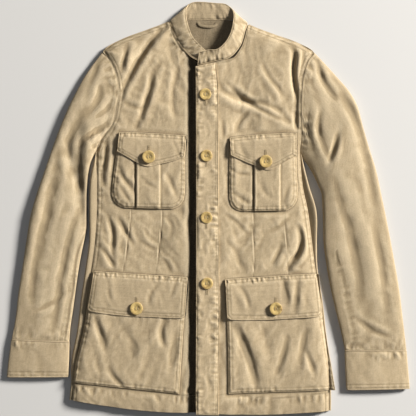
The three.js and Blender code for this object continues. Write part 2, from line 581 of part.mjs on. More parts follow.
// The back: flat on the surface, rolled up at its sides, shoulders and underarms to meet the fronts.
function backPanel() {
  const flat = 8;
  const neckBow = 6;
  const hemBow = -11;
  const hemRows = 3;
  const rightSide = backSide(rightFrontRows, rightSideRows);
  const leftSide = backSide(leftFrontRows, leftSideRows);
  const sheet = rightSide.map((a, i) => {
    const b = leftSide[i];
    const from = rollPoints(a, 1);
    const to = rollPoints(b, -1).reverse();
    const start = from.at(-1).x;
    const at = bodyStations[i];
    const bow = neckBow * ease((at - SHOULDER_ROW) / (bodyStations.at(-1) - SHOULDER_ROW))
      + hemBow * (1 - ease(at / hemRows));
    const points = from.slice(0, -1).map((p) => new THREE.Vector3(p.x, a.y, p.z));
    for (let j = 0; j <= flat; j++) {
      const t = j / flat;
      const y = mix(a.y, b.y, t) + bow * Math.sin(Math.PI * t);
      points.push(new THREE.Vector3(mix(start, to[0].x, t), y, 0));
    }
    for (const p of to.slice(1)) points.push(new THREE.Vector3(p.x, b.y, p.z));
    return points;
  });
  const normals = sheetNormals(sheet);
  const turned = Math.sign(normals[Math.floor(sheet.length / 2)][flat].z);
  const inner = offsetSheet(sheet, normals, CLOTH * turned);
  inner.forEach((row, i) => {
    if (bodyStations[i] >= UNDERARM_ROW) return;
    for (const j of [0, row.length - 1]) row[j].set(sheet[i][j].x, sheet[i][j].y, sheet[i][j].z - CLOTH);
  });
  return wall(sheet, inner);
}

// Normals at an open end of a tube stay in the upright surface through that end.
function endNormals(ring, like) {
  const count = ring.length;
  return ring.map((point, j) => {
    const before = ring[(j + count - 1) % count];
    const after = ring[(j + 1) % count];
    const round = after.clone().sub(before);
    const inwards = after.clone().add(before).multiplyScalar(0.5).sub(point);
    const level = Math.hypot(round.x, round.y) > Math.abs(round.z) * 0.5 ? round : inwards;
    const aside = new THREE.Vector3(-level.y, level.x, 0).normalize();
    const normal = round.cross(aside).normalize();
    return normal.dot(like[j]) < 0 ? normal.negate() : normal;
  });
}

// How far along a sleeve its armhole's shape carries, and where its folds begin
const ARMHOLE_REACH = 0.3;
const FOLDS_FROM_ARMHOLE = 60;
const SLEEVE_STATIONS = 20;
const CUFF_STATIONS = 3;

// A sleeve or cuff as two sheets, outer and inner, of flattened rings that are flat below. The first
// ring follows the armhole where there is one.
function tubeSheets(rows, stations, thickness, folds = [], armhole = null) {
  const half = ARMHOLE_STEPS;
  const sections = resample(rows, stations, ['ox', 'oy', 'ix', 'iy', 'crown']);
  const first = rows[0];
  const foldsFrom = { x: (first.ox + first.ix) / 2, y: (first.oy + first.iy) / 2 };
  const rings = sections.map((section, i) => Array.from({ length: 2 * half }, (_, j) => {
    const step = j <= half ? j : 2 * half - j;
    const share = (1 - Math.cos((Math.PI * step) / half)) / 2;
    const side = Math.sin((Math.PI * step) / half);
    const seam = armhole?.[step] ?? { x: mix(first.ix, first.ox, share), y: mix(first.iy, first.oy, share) };
    const held = 1 - ease(i / (stations * ARMHOLE_REACH));
    const x = mix(section.ix, section.ox, share) + (seam.x - mix(first.ix, first.ox, share)) * held;
    const y = mix(section.iy, section.oy, share) + (seam.y - mix(first.iy, first.oy, share)) * held;
    const middleHeight = Math.min(MID_EDGE, section.crown / 2);
    const fade = side * ease(Math.hypot(x - foldsFrom.x, y - foldsFrom.y) / FOLDS_FROM_ARMHOLE);
    const z = j <= half
      ? mix(middleHeight, section.crown, side ** TOP_ROUNDNESS) - foldDepth(folds, x, y) * fade
      : middleHeight * (1 - side ** UNDER_ROUNDNESS);
    return new THREE.Vector3(x, y, z);
  }));
  const normals = sheetNormals(rings, true);
  normals[0] = endNormals(rings[0], normals[0]);
  normals[stations] = endNormals(rings[stations], normals[stations]);
  const turned = -Math.sign(normals[Math.floor(stations / 2)][Math.floor(half / 2)].z);
  return { outer: rings, inner: offsetSheet(rings, normals, thickness * turned) };
}

// A cuff is a closed tube.
function cuffTube(rows) {
  const { outer, inner } = tubeSheets(rows, CUFF_STATIONS, DOUBLE_CLOTH);
  return wall(outer, inner, true);
}

// A sleeve is two panels, over and under the arm, with a seam along its inner and its outer edge.
function sleevePanels(rows, folds, armhole) {
  const { outer, inner } = tubeSheets(rows, SLEEVE_STATIONS, CLOTH, folds, armhole);
  const count = outer[0].length;
  const half = count / 2;
  const panel = (sheet, from, lift) => sheet.map((ring) => Array.from({ length: half + 1 }, (_, j) => {
    const point = ring[(from + j) % count].clone();
    if (j === 0 || j === half) point.z += lift;
    return point;
  }));
  return {
    over: wall(panel(outer, 0, SEAM_GAP / 2), panel(inner, 0, SEAM_GAP / 2)),
    under: wall(panel(outer, half, -SEAM_GAP / 2), panel(inner, half, -SEAM_GAP / 2)),
  };
}

const armholeLine = (rows) => resample(
  rows, bodyStations.filter((at) => at >= UNDERARM_ROW && at <= SHOULDER_ROW), ['sx', 'sy'],
).map((row) => ({ x: row.sx, y: row.sy }));

// The stand collar: a band whose middle layer runs between the neck seam and the top edge.
const COLLAR_BELLY = 0.8;
function collarBand() {
  const stations = 34;
  const across = 3;
  const sections = resample(collarRows, stations, ['bx', 'by', 'bz', 'tx', 'ty', 'tz']);
  const middle = sections.map((c) => Array.from({ length: across + 1 }, (_, j) => {
    const t = j / across;
    const belly = COLLAR_BELLY * Math.sin(Math.PI * t);
    return new THREE.Vector3(mix(c.bx, c.tx, t), mix(c.by, c.ty, t), mix(c.bz, c.tz, t) + belly);
  }));
  const normals = sheetNormals(middle);
  const half = DOUBLE_CLOTH / 2;
  return wall(offsetSheet(middle, normals, half), offsetSheet(middle, normals, -half));
}

// What lies on a front: the height of its upper side above the surface.
const placketHeight = (x, y) => frontHeight(left, x, y) + LAYER_GAP + CLOTH;

function placketStrip() {
  const across = 3;
  const sections = resample(placketRows, 24, ['lx', 'ly', 'rx', 'ry']);
  const sheet = sections.map((p) => Array.from({ length: across + 1 }, (_, j) => {
    const x = mix(p.lx, p.rx, j / across);
    const y = mix(p.ly, p.ry, j / across);
    return new THREE.Vector3(x, y, placketHeight(x, y));
  }));
  return wall(sheet, lowered(sheet, CLOTH));
}

// A pocket's pleat rises over this width, on both sides of its edge.
const PLEAT_EDGE = 1.5;

function pocketHeight(pocket, x, y) {
  const distance = pocket.outline.contains(x, y) ? nearest(pocket.outline.line, x, y).distance : 0;
  const puff = POCKET_PUFF * roll(distance / PUFF_REACH);
  const folds = Math.min(foldDepth(pocket.folds, x, y), puff);
  const fromPleat = pocket.pleat ? Math.abs(x - pocket.pleat.centre) - pocket.pleat.half : Infinity;
  const pleat = PLEAT_RISE * (1 - ease((fromPleat + PLEAT_EDGE) / (2 * PLEAT_EDGE)));
  return frontHeight(pocket.side, x, y) + LAYER_GAP + CLOTH + puff - folds + pleat;
}

function patchPocket(pocket) {
  const down = 9;
  const first = pocket.rows[0];
  const rim = 0.05;
  const shareOf = (x) => (x - first.lx) / (first.rx - first.lx);
  let columns = [0, rim, 0.14, 0.26, 0.4, 0.5, 0.6, 0.74, 0.86, 1 - rim, 1];
  if (pocket.pleat) {
    const { centre, half } = pocket.pleat;
    const pleatPlaces = [
      -half - PLEAT_EDGE, -half + PLEAT_EDGE, 0, half - PLEAT_EDGE, half + PLEAT_EDGE,
    ].map((x) => shareOf(centre + x));
    const beside = [pleatPlaces[0] / 2, mix(pleatPlaces.at(-1), 1, 0.5)];
    columns = [0, rim, beside[0], ...pleatPlaces, beside[1], 1 - rim, 1];
  }
  const sections = resample(pocket.rows, down, ['lx', 'ly', 'rx', 'ry']);
  const sheet = sections.map((p) => columns.map((t) => {
    const x = mix(p.lx, p.rx, t);
    const y = mix(p.ly, p.ry, t);
    return new THREE.Vector3(x, y, pocketHeight(pocket, x, y));
  }));
  return wall(sheet, lowered(sheet, CLOTH));
}

function flapHeight(flap, x, y) {
  const seam = flap.columns.map((c) => ({ x: c.tx, y: c.ty }));
  const over = ease(nearest(seam, x, y).distance / FLAP_RAMP);
  const low = frontHeight(flap.pocket.side, x, y) + LAYER_GAP + CLOTH;
  const high = pocketHeight(flap.pocket, x, y) + LAYER_GAP + CLOTH;
  return mix(low, high, over) + FLAP_STAND * over;
}

function pocketFlap(flap) {
  const down = [0, 0.16, 0.4, 0.7, 1];
  const columns = resample(flap.columns, 12, ['tx', 'ty', 'bx', 'by']);
  const sheet = down.map((t) => columns.map((c) => {
    const x = mix(c.tx, c.bx, t);
    const y = mix(c.ty, c.by, t);
    return new THREE.Vector3(x, y, flapHeight(flap, x, y));
  }));
  return wall(sheet, lowered(sheet, CLOTH));
}

// A sewn-through button with a wide rim, a sunk middle and four holes.
const BUTTON_THICK = 3;
const BUTTON_SIDES = 14;
const BUTTON_SEAT = 0.46;
function button(across) {
  const radius = across / 2;
  const profile = [
    [0, 0], [radius - 1, 0], [radius, 1.1], [radius - 1.2, BUTTON_THICK - 0.2],
    [radius * 0.6, BUTTON_THICK], [radius * 0.45, BUTTON_THICK - 0.9], [0, BUTTON_THICK - 0.9],
  ].map(([r, z]) => new THREE.Vector2(r, z));
  const body = new THREE.LatheGeometry(profile, BUTTON_SIDES).rotateX(Math.PI / 2);
  let solid = manifoldOf(body);
  const holeRadius = 0.95;
  const holeSpread = radius * 0.2;
  for (const [sx, sy] of [[1, 1], [1, -1], [-1, 1], [-1, -1]]) {
    const hole = new THREE.CylinderGeometry(holeRadius, holeRadius, BUTTON_THICK * 3, 5).rotateX(Math.PI / 2);
    hole.translate(sx * holeSpread, sy * holeSpread, 0);
    solid = solid.subtract(manifoldOf(hole));
  }
  return geometryOf(solid);
}

function manifoldOf(geometry) {
  const bare = geometry.clone();
  bare.deleteAttribute('normal');
  bare.deleteAttribute('uv');
  const merged = mergeVertices(bare, 1e-4);
  const kept = [];
  const index = merged.index.array;
  for (let k = 0; k < index.length; k += 3) {
    const [a, b, c] = [index[k], index[k + 1], index[k + 2]];
    if (a !== b && b !== c && c !== a) kept.push(a, b, c);
  }
  const mesh = new wasm.Mesh({
    numProp: 3,
    vertProperties: new Float32Array(merged.attributes.position.array),
    triVerts: new Uint32Array(kept),
  });
  return new wasm.Manifold(mesh);
}

function geometryOf(solid) {
  const { vertProperties, triVerts } = solid.getMesh();
  const geometry = new THREE.BufferGeometry();
  geometry.setAttribute('position', new THREE.BufferAttribute(new Float32Array(vertProperties), 3));
  geometry.setIndex(new THREE.BufferAttribute(new Uint32Array(triVerts), 1));
  geometry.computeVertexNormals();
  return geometry;
}

// The hanger loop inside the back of the neck: a narrow folded strip.
function hangerLoop() {
  const route = [
    { x: -19, y: 353 }, { x: -16, y: 348 }, { x: -8, y: 345.5 }, { x: 3, y: 344.5 },
    { x: 12, y: 346 }, { x: 17, y: 351 },
  ];
  const stripWidth = 5;
  const height = CLOTH + LAYER_GAP + CLOTH;
  const sheet = route.map((p, k) => {
    const next = route[Math.min(k + 1, route.length - 1)];
    const before = route[Math.max(k - 1, 0)];
    const along = new THREE.Vector2(next.x - before.x, next.y - before.y).normalize();
    return [0.5, -0.5].map((s) => new THREE.Vector3(
      p.x - along.y * stripWidth * s, p.y + along.x * stripWidth * s, height));
  });
  return wall(sheet, lowered(sheet, CLOTH));
}

// Pockets and flaps with what they lie on
const pockets = {
  chest_right: { rows: rightChestPocketRows, side: right, folds: [], pleat: { centre: -113, half: 22.5 } },
  chest_left: { rows: leftChestPocketRows, side: left, folds: [], pleat: { centre: 112, half: 24.5 } },
  lower_right: { rows: rightLowerPocketRows, side: right, folds: rightLowerPocketFolds },
  lower_left: { rows: leftLowerPocketRows, side: left, folds: leftLowerPocketFolds },
};
for (const pocket of Object.values(pockets)) pocket.outline = pocketOutline(pocket.rows);
const flaps = {
  chest_right: { columns: rightChestFlapColumns, pocket: pockets.chest_right },
  chest_left: { columns: leftChestFlapColumns, pocket: pockets.chest_left },
  lower_right: { columns: rightLowerFlapColumns, pocket: pockets.lower_right },
  lower_left: { columns: leftLowerFlapColumns, pocket: pockets.lower_left },
};

// The jacket: a named mesh for each piece that is cut and sewn on
const jacket = new THREE.Group();
function add(name, geometry, finish) {
  const mesh = new THREE.Mesh(geometry, new THREE.MeshStandardMaterial(finish));
  mesh.name = name;
  jacket.add(mesh);
  return mesh;
}

add('back', backPanel(), drill);
add('front_right', frontPanel(rightFrontRows, right), drill);
add('front_left', frontPanel(leftFrontRows, left), drill);
add('placket', placketStrip(), drill);
add('collar', collarBand(), drill);
add('hanger_loop', hangerLoop(), drill);
const sleeves = {
  right: sleevePanels(rightSleeveRows, rightSleeveFolds, armholeLine(rightFrontRows)),
  left: sleevePanels(leftSleeveRows, leftSleeveFolds, armholeLine(leftFrontRows)),
};
for (const [side, panels] of Object.entries(sleeves)) {
  add(`top_sleeve_${side}`, panels.over, drill);
  add(`under_sleeve_${side}`, panels.under, drill);
}
add('cuff_right', cuffTube(rightCuffRows), drill);
add('cuff_left', cuffTube(leftCuffRows), drill);
for (const [place, pocket] of Object.entries(pockets)) add(`pocket_${place}`, patchPocket(pocket), drill);
for (const [place, flap] of Object.entries(flaps)) add(`flap_${place}`, pocketFlap(flap), drill);

// Each button lies flat on the highest place under it.
for (const row of buttonRows) {
  const height = (x, y) => (row.on === 'placket' ? placketHeight(x, y) : flapHeight(flaps[row.on], x, y));
  const reach = row.across * BUTTON_SEAT;
  const angles = Array.from({ length: 12 }, (_, k) => (k * Math.PI) / 6);
  const heights = angles.map((a) => height(row.x + Math.cos(a) * reach, row.y + Math.sin(a) * reach));
  const seat = Math.max(height(row.x, row.y), ...heights) + SEAM_GAP;
  add(row.name, button(row.across), horn).position.set(row.x, row.y, seat);
}

// The origin is the middle of the jacket's outline on the surface it lies on.
const box = new THREE.Box3().setFromObject(jacket);
const middle = box.getCenter(new THREE.Vector3());
jacket.position.set(-middle.x, -middle.y, -box.min.z);

export default jacket;
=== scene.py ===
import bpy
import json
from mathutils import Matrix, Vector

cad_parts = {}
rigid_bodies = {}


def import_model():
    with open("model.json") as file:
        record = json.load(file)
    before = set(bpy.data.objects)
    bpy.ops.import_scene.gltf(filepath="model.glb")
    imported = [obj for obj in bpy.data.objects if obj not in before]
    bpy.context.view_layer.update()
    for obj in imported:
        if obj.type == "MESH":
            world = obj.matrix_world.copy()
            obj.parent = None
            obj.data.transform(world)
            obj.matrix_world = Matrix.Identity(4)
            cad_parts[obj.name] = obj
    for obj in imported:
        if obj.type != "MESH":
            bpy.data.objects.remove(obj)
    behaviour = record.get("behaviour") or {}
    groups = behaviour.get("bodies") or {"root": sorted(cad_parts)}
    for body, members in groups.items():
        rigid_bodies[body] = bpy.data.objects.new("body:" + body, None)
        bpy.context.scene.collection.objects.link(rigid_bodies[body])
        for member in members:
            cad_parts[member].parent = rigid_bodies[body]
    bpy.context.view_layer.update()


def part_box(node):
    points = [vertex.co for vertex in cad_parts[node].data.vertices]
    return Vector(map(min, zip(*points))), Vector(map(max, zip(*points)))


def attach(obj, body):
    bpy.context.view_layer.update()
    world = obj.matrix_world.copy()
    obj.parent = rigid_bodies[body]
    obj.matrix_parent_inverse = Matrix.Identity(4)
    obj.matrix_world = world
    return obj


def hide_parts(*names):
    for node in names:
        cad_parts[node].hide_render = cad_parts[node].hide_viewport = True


bl_info = {
    "name": "Safari jacket laid flat",
    "version": (1, 0, 0),
    "blender": (4, 5, 0),
    "location": "3D View > Sidebar > Jacket",
    "description": "Cotton drill safari jacket with patch pockets, made piece by piece on its packed solids",
    "category": "Object",
}

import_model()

import json
import math

import bmesh
import bpy
import numpy as np
from bpy.props import FloatProperty, FloatVectorProperty, PointerProperty
from mathutils import Vector

# Sizes below are millimetres on the jacket's own cutting table; the frame is in metres.
MM = 0.001
SHIFT_X = -0.5
SHIFT_Y = 0.414

CLOTH = 1.3
SEAM_GAP = 0.4
SEAM_SHADE_REACH = 1.5
LAYER_GAP = 0.6
BODY_LOFT = 12.0
EDGE_ROLL = 26.0
MID_EDGE = 5.5
SLEEVE_HEAD = 13.0
OVERLAP_STEP = 2.2
OVERLAP_START = 34.0
OVERLAP_END = 66.0
NEAR_POCKET = 9.0
FLAP_RAMP = 9.0
FLAP_STAND = 1.0
POCKET_PUFF = 2.2
PLEAT_EDGE = 1.5
PUFF_REACH = 20.0
PLEAT_RISE = 1.4
SIDE_ROLL = 9.0
UNDERARM = 9
SHOULDER = 16
LAST_ROW = 20


def table(columns, rows):
    """A short table as one array for each named column."""
    values = np.array(rows, dtype=float)
    return {name: values[:, k] for k, name in enumerate(columns.split())}


# Fronts, from the hem up: s on the side, armhole and shoulder edge, c on the centre and neck edge.
RIGHT_FRONT = table("sx sy cx cy bow", [
    (-259.5, -366, 21, -390.5, 7.5), (-256.5, -335.5, 21, -362, 5.5), (-251, -290, 21, -301, 0),
    (-238.5, -233, 21, -236.5, 0), (-230, -176, 21, -176, 0), (-221.5, -119, 21, -119, 0),
    (-214, -62, 21, -62, 0), (-210.5, -5, 21, -5, 0), (-210.5, 52, 21, 52, 0),
    (-211, 107.5, 21, 105.5, 0), (-197.5, 136, 21, 134, 0), (-180.5, 158.5, 21, 158.5, 0),
    (-173, 191, 21, 185, 0), (-168, 221.5, 21, 208, 0), (-175, 255.5, 21, 227, 0),
    (-186, 280, 21, 244, 0), (-198.5, 299, 15, 263, 0), (-163.5, 320, -11.5, 274.5, 0),
    (-119.5, 336.5, -39, 291.5, 0), (-91, 347, -59, 314.5, 0), (-75, 353.5, -69.5, 339, 0)])
LEFT_FRONT = table("sx sy cx cy bow", [
    (231, -386.5, -21, -389.5, 5), (231, -352.5, -21, -360, 4), (229, -299, -21, -301, 0),
    (221.5, -236.5, -21, -236.5, 0), (214.5, -176, -21, -176, 0), (205, -119, -21, -119, 0),
    (198.5, -67.5, -21, -62, 0), (191, -8.5, -20, -5, 0), (180.5, 43, -20, 50.5, 0),
    (175.5, 103.5, -21, 103.5, 0), (177.5, 130, -22, 130, 0), (177.5, 157, -22, 155, 0),
    (176.5, 189, -22, 177.5, 0), (178, 223, -22, 200.5, 0), (182.5, 255.5, -22, 223, 0),
    (191, 280, -21, 246, 0), (200.5, 296, -20, 268, 0), (167, 314.5, 17, 275.5, 0),
    (127.5, 328.5, 43.5, 280, 0), (95, 340.5, 63.5, 305, 0), (78, 348, 73, 335.5, 0)])

# Sides of the back, from the hem up: where the front begins, the outline, and the heights there.
RIGHT_SIDE = table("seam edge crest height", [
    (-260, -264, 7, 6.6), (-256, -261, 7.5, 7), (-251, -259.5, 8.5, 7.5), (-238.5, -249, 9.5, 8),
    (-230, -242, 10.5, 8.5), (-221.5, -233.5, 11.5, 9), (-214, -226, 12.5, 9.5),
    (-210.5, -226, 13, 10), (-210.5, -224, 12.5, 9.5), (-211, -213, 8, 6)])
LEFT_SIDE = table("seam edge crest height", [
    (231, 234.5, 5, 4.4), (231, 234.5, 5, 4.4), (229, 232.5, 5, 4.4), (221.5, 225, 5, 4.4),
    (214.5, 218, 5, 4.4), (205, 209, 5, 4.4), (198.5, 207.5, 7, 4.4), (191, 206.5, 10, 4.4),
    (180.5, 192, 9, 4.6), (175.5, 178, 7, 5)])

# Sleeves and cuffs, from the armhole down: o on the outer edge, i on the inner edge.
RIGHT_SLEEVE = table("ox oy ix iy crown", [
    (-198.5, 299, -211, 107.5, 13), (-213, 280, -216.5, 100, 13.5), (-232, 253.5, -223.5, 84.5, 14),
    (-249, 223, -228, 63.5, 14.5), (-265, 191, -230, 37, 15), (-282, 151, -230.5, 10.5, 15),
    (-298.5, 105.5, -230.5, -16, 15), (-313.5, 62, -231, -39, 15), (-327, 22, -236, -65.5, 15),
    (-338, -18, -242, -94, 14.5), (-346, -67.5, -247.5, -126.5, 14), (-353.5, -117, -252, -158.5, 13.5),
    (-360.5, -162.5, -256.5, -193, 12.5), (-366, -210, -261.5, -225, 11.5),
    (-373.5, -250, -264, -254.5, 10.5)])
LEFT_SLEEVE = table("ox oy ix iy crown", [
    (200.5, 296, 175.5, 103.5, 13), (214.5, 282, 182.5, 90, 13.5), (232, 263, 192, 77, 14),
    (249, 244, 200.5, 62, 14.5), (268, 221.5, 209, 43.5, 15), (284, 193, 216, 25.5, 15.5),
    (294.5, 155, 217.5, 5, 15.5), (306, 115, 218.5, -18, 15.5), (319, 73, 219, -44.5, 15.5),
    (329.5, 25.5, 220.5, -73, 15), (341.5, -33, 225.5, -111, 14.5), (353, -94, 232, -147, 14),
    (363.5, -155, 240.5, -185, 13), (371, -215.5, 252.5, -234.5, 12), (377.5, -271.5, 260.5, -271, 10.5)])
RIGHT_CUFF = table("ox oy ix iy crown", [
    (-374, -250.5, -263.6, -255, 10.6), (-379, -286, -264.5, -290, 10.4), (-383, -323, -266, -322.5, 10)])
LEFT_CUFF = table("ox oy ix iy crown", [
    (378, -272, 260, -271.5, 10.6), (381, -309, 261.5, -310.5, 10.4), (384, -345, 263.5, -347.5, 10)])

# Stand collar from the placket round the neck: b on the neck seam, t on the top edge.
COLLAR = table("bx by bz tx ty tz", [
    (-20, 269.4, 14.6, -17, 293.5, 20), (-2, 273.2, 14.6, -1, 297.5, 20.5), (17, 277.7, 14.4, 17, 299, 21),
    (41, 283.6, 13.6, 32, 311.5, 21), (61.5, 306.5, 12, 42, 329.5, 19), (71, 336, 9.5, 47, 350, 15.5),
    (75, 350, 6, 48, 368, 10), (64, 356, 2.6, 43, 380, 5), (46, 357.5, 1.4, 33, 388, 2.6),
    (22, 357.5, 1.4, 13.5, 390, 2.2), (-6, 357.5, 1.4, -9.5, 392, 2.2), (-34, 358, 1.4, -27, 391.5, 2.8),
    (-58, 359, 2.6, -37, 386, 5.2), (-72.5, 354.5, 6, -41.5, 373, 10.5), (-68.5, 340, 9.5, -39, 351, 14.5),
    (-58, 315.5, 12, -29.5, 324, 17), (-38, 292.5, 12.4, -11.5, 303.5, 16), (-17, 280, 12.2, 3, 293, 14.6)])

SLEEVES = {"right": RIGHT_SLEEVE, "left": LEFT_SLEEVE}
CUFFS = {"right": RIGHT_CUFF, "left": LEFT_CUFF}

# Seeds of the small creases, and how the sleeves' creases lean in degrees
FRONT_SEEDS = {"right": 11, "left": 53}
SLEEVE_SEEDS = {"right": 501, "left": 551}
CUFF_SEEDS = {"right": 601, "left": 641}
PLACKET_SEED = 401
COLLAR_SEED = 703
CREASE_SEED = 77
UNDERLAP_SEED = 19
BACK_SEED = 801
SLEEVE_LEANS = {"right": -104, "left": -72}

PLACKET = table("lx ly rx ry", [
    (-22.5, -392, 20, -393), (-23, -340, 20, -341), (-22.5, -160, 21, -160), (-22.5, 60, 20, 60),
    (-23, 200, 20, 203), (-23.5, 267, 15, 274)])

# Patch pockets from the top edge down, and flaps from left to right with t on the seam.
POCKETS = {
    "chest_right": table("lx ly rx ry", [
        (-170, 130, -42, 126.5), (-175, 94, -43, 90), (-179.5, 60, -43, 56), (-182, 33, -43.5, 29.5),
        (-180, 18, -46, 14), (-172, 6, -54, 3.5), (-158, -1, -68, -3)]),
    "chest_left": table("lx ly rx ry", [
        (41.5, 124, 168, 128.5), (40.5, 90, 168, 94), (40, 56, 169, 60), (40, 29.5, 170, 33),
        (42, 11, 169, 15), (50, -1.5, 162, 2.5), (65, -7.5, 149, -6)]),
    "lower_right": table("lx ly rx ry", [
        (-218.5, -136, -40, -147), (-228, -181.5, -43, -189), (-234.5, -225, -46.5, -229),
        (-243, -261, -49, -267), (-251, -293.5, -51.5, -305), (-256, -332, -54.5, -353.5)]),
    "lower_left": table("lx ly rx ry", [
        (34, -151, 204, -147), (35, -191, 215.5, -183.5), (36.5, -233, 221.5, -225),
        (37.5, -271, 228, -265), (38, -309, 235, -305), (38.5, -353, 241.5, -346.5)]),
}
FLAPS = {
    "chest_right": table("tx ty bx by", [
        (-168, 142.5, -172, 106.5), (-148, 142.5, -150, 94), (-125.5, 141.5, -129, 82.5),
        (-110, 140.5, -112, 77.5), (-91, 139.5, -91, 82), (-66.5, 138, -67.5, 87.5), (-41, 136, -44.5, 96)]),
    "chest_left": table("tx ty bx by", [
        (41, 132, 43, 99), (62.5, 135, 64.5, 89), (87.5, 137.5, 91, 78.5), (110, 139, 115, 71),
        (131, 140, 135, 79), (150, 141, 153, 89.5), (168, 141.5, 168, 97)]),
    "lower_right": table("tx ty bx by", [
        (-216.5, -120.5, -227.5, -190), (-209, -121, -219.5, -196.5), (-157.5, -124.5, -163.5, -204),
        (-99, -128, -106.5, -207), (-46.5, -131.5, -52, -209), (-38.5, -132.5, -43.5, -204)]),
    "lower_left": table("tx ty bx by", [
        (32.5, -136, 35.5, -202.5), (40, -135.5, 43.5, -211.5), (91, -132, 95, -212.5),
        (150, -128, 154, -210), (203.5, -125.5, 209, -206), (210.5, -129, 217, -200.5)]),
}
PLEATS = {"chest_right": (-113.0, 22.5), "chest_left": (112.0, 24.5)}
SIDE_OF = {"chest_right": "right", "lower_right": "right", "chest_left": "left", "lower_left": "left"}

BUTTONS = (
    ("button_placket_1", -5, 214, 22, "placket"), ("button_placket_2", -3, 98, 22, "placket"),
    ("button_placket_3", -3, -19, 22, "placket"), ("button_placket_4", -2, -143.5, 22, "placket"),
    ("button_chest_right", -112, 95.5, 24, "chest_right"), ("button_chest_left", 109, 87, 24, "chest_left"),
    ("button_lower_right", -135, -190.5, 24, "lower_right"),
    ("button_lower_left", 128, -191, 24, "lower_left"),
)

# Main folds, as in the solids: an arc through three points, its reach to each side and its depth.
FOLDS = {
    "front_right": [
        (-82, 345, -127, 288, -169, 208, 10, 3.2), (-152, 313, -158, 288, -163, 261, 8, 1.5),
        (-91, 273, -114, 214, -139, 147, 12, 1.6), (-192, 132, -196, 90, -198, 43, 8, 1.5),
        (-198, -81, -184, -100, -179, -115, 8, 1.6), (-186, -28, -179, -58, -179, -85, 8, 1.2),
        (-169, -20, -156, -47, -144, -66, 8, 1.2)],
    "front_left": [
        (163, 313, 162, 257, 168, 210, 8, 2.4), (165, 181, 166, 165, 167, 150, 8, 2),
        (40, 232, 80, 197, 150, 163, 9, 2.4), (72, 178, 61, 165, 55, 152, 8, 1.2),
        (172, -38, 172, -80, 154, -112, 9, 2.2), (139, -71, 131, -90, 122, -105, 8, 1.2)],
    "lower_right": [
        (-211, -214, -203, -238, -196, -267, 9, 1.6), (-188, -305, -175, -325, -158, -340, 8, 1.4),
        (-80, -216, -89, -238, -82, -261, 8, 1.5), (-62, -240, -66, -275, -70, -305, 10, 1.8)],
    "lower_left": [
        (52, -225, 74, -275, 91, -340, 11, 2.6), (150, -248, 141, -284, 131, -313, 8, 1.5),
        (186, -233, 179, -257, 175, -294, 8, 1.5), (186, -271, 194, -294, 201, -313, 8, 1.2)],
    "chest_right": [],
    "chest_left": [],
    "sleeve_right": [
        (-208, 277, -213, 262, -220, 238, 9, 1.8), (-195, 155, -215, 141, -239, 124, 10, 2.8),
        (-240, 189, -262, 128, -248, 18, 18, 1.4), (-243, -60, -260, -147, -276, -240, 9, 1.4),
        (-281, 109, -310, -43, -334, -214, 15, 1.2)],
    "sleeve_left": [
        (207, 278, 215, 250, 241, 208, 9, 2.2), (255, 215, 272, 180, 286, 143, 14, 2.2),
        (286, 143, 308, 52, 325, -43, 14, 1.5), (186, 150, 192, 134, 200, 112, 8, 2),
        (245, 138, 240, 113, 233, 90, 9, 1.6), (248, -100, 263, -161, 279, -240, 9, 1.2),
        (260, 61, 276, -24, 295, -138, 16, 1.4)],
}


# Plain arithmetic on arrays of millimetres
def clamp(value, low=0.0, high=1.0):
    return np.clip(value, low, high)


def mix(a, b, t):
    return a + (b - a) * t


def ease(t):
    c = clamp(t)
    return c * c * (3 - 2 * c)


def roll(t):
    """A quarter round: steep at 0, level at 1."""
    return np.sqrt(1 - (1 - clamp(t)) ** 2)


def bump_at(distance, reach):
    """A soft bell, 1 at no distance and 0 from its reach on."""
    return np.where(distance < reach, (1 - (clamp(distance / reach)) ** 2) ** 2, 0.0)


def resample(rows, places):
    """The columns of a table at places along its rows, on a smooth curve."""
    places = np.asarray(places, dtype=float)
    columns = {}
    for key, values in rows.items():
        last = len(values) - 1
        i = np.minimum(np.floor(places).astype(int), last - 1)
        t = places - i
        a, b = values[i], values[i + 1]
        slope_a = (b - values[np.maximum(i - 1, 0)]) / 2
        slope_b = (values[np.minimum(i + 2, last)] - a) / 2
        columns[key] = ((2 * t ** 3 - 3 * t * t + 1) * a + (t ** 3 - 2 * t * t + t) * slope_a
                        + (3 * t * t - 2 * t ** 3) * b + (t ** 3 - t * t) * slope_b)
    return columns


def smooth_noise(x, y, seed):
    """Seeded gradient noise over a plane, about -0.7 to 0.7, with one swing to each unit."""
    size = 128
    angles = np.random.default_rng(seed).uniform(0, 2 * math.pi, (size, size))
    gx, gy = np.cos(angles), np.sin(angles)
    xi = np.floor(x).astype(int)
    yi = np.floor(y).astype(int)
    xf, yf = x - xi, y - yi

    def corner(dx, dy):
        i, j = (xi + dx) % size, (yi + dy) % size
        return gx[i, j] * (xf - dx) + gy[i, j] * (yf - dy)

    u = xf ** 3 * (xf * (xf * 6 - 15) + 10)
    v = yf ** 3 * (yf * (yf * 6 - 15) + 10)
    low = mix(corner(0, 0), corner(1, 0), u)
    high = mix(corner(0, 1), corner(1, 1), u)
    return mix(low, high, v)


def running(steps):
    """The length run at each point, from the steps between them."""
    return np.concatenate([[0.0], np.cumsum(steps)])


def unit(vectors):
    """Vectors along the last axis, each made one long."""
    return vectors / np.maximum(np.linalg.norm(vectors, axis=-1), 1e-9)[..., None]


def points_of(rows, x_key, y_key):
    """Two columns of a table as points."""
    return np.stack([rows[x_key], rows[y_key]], axis=1)


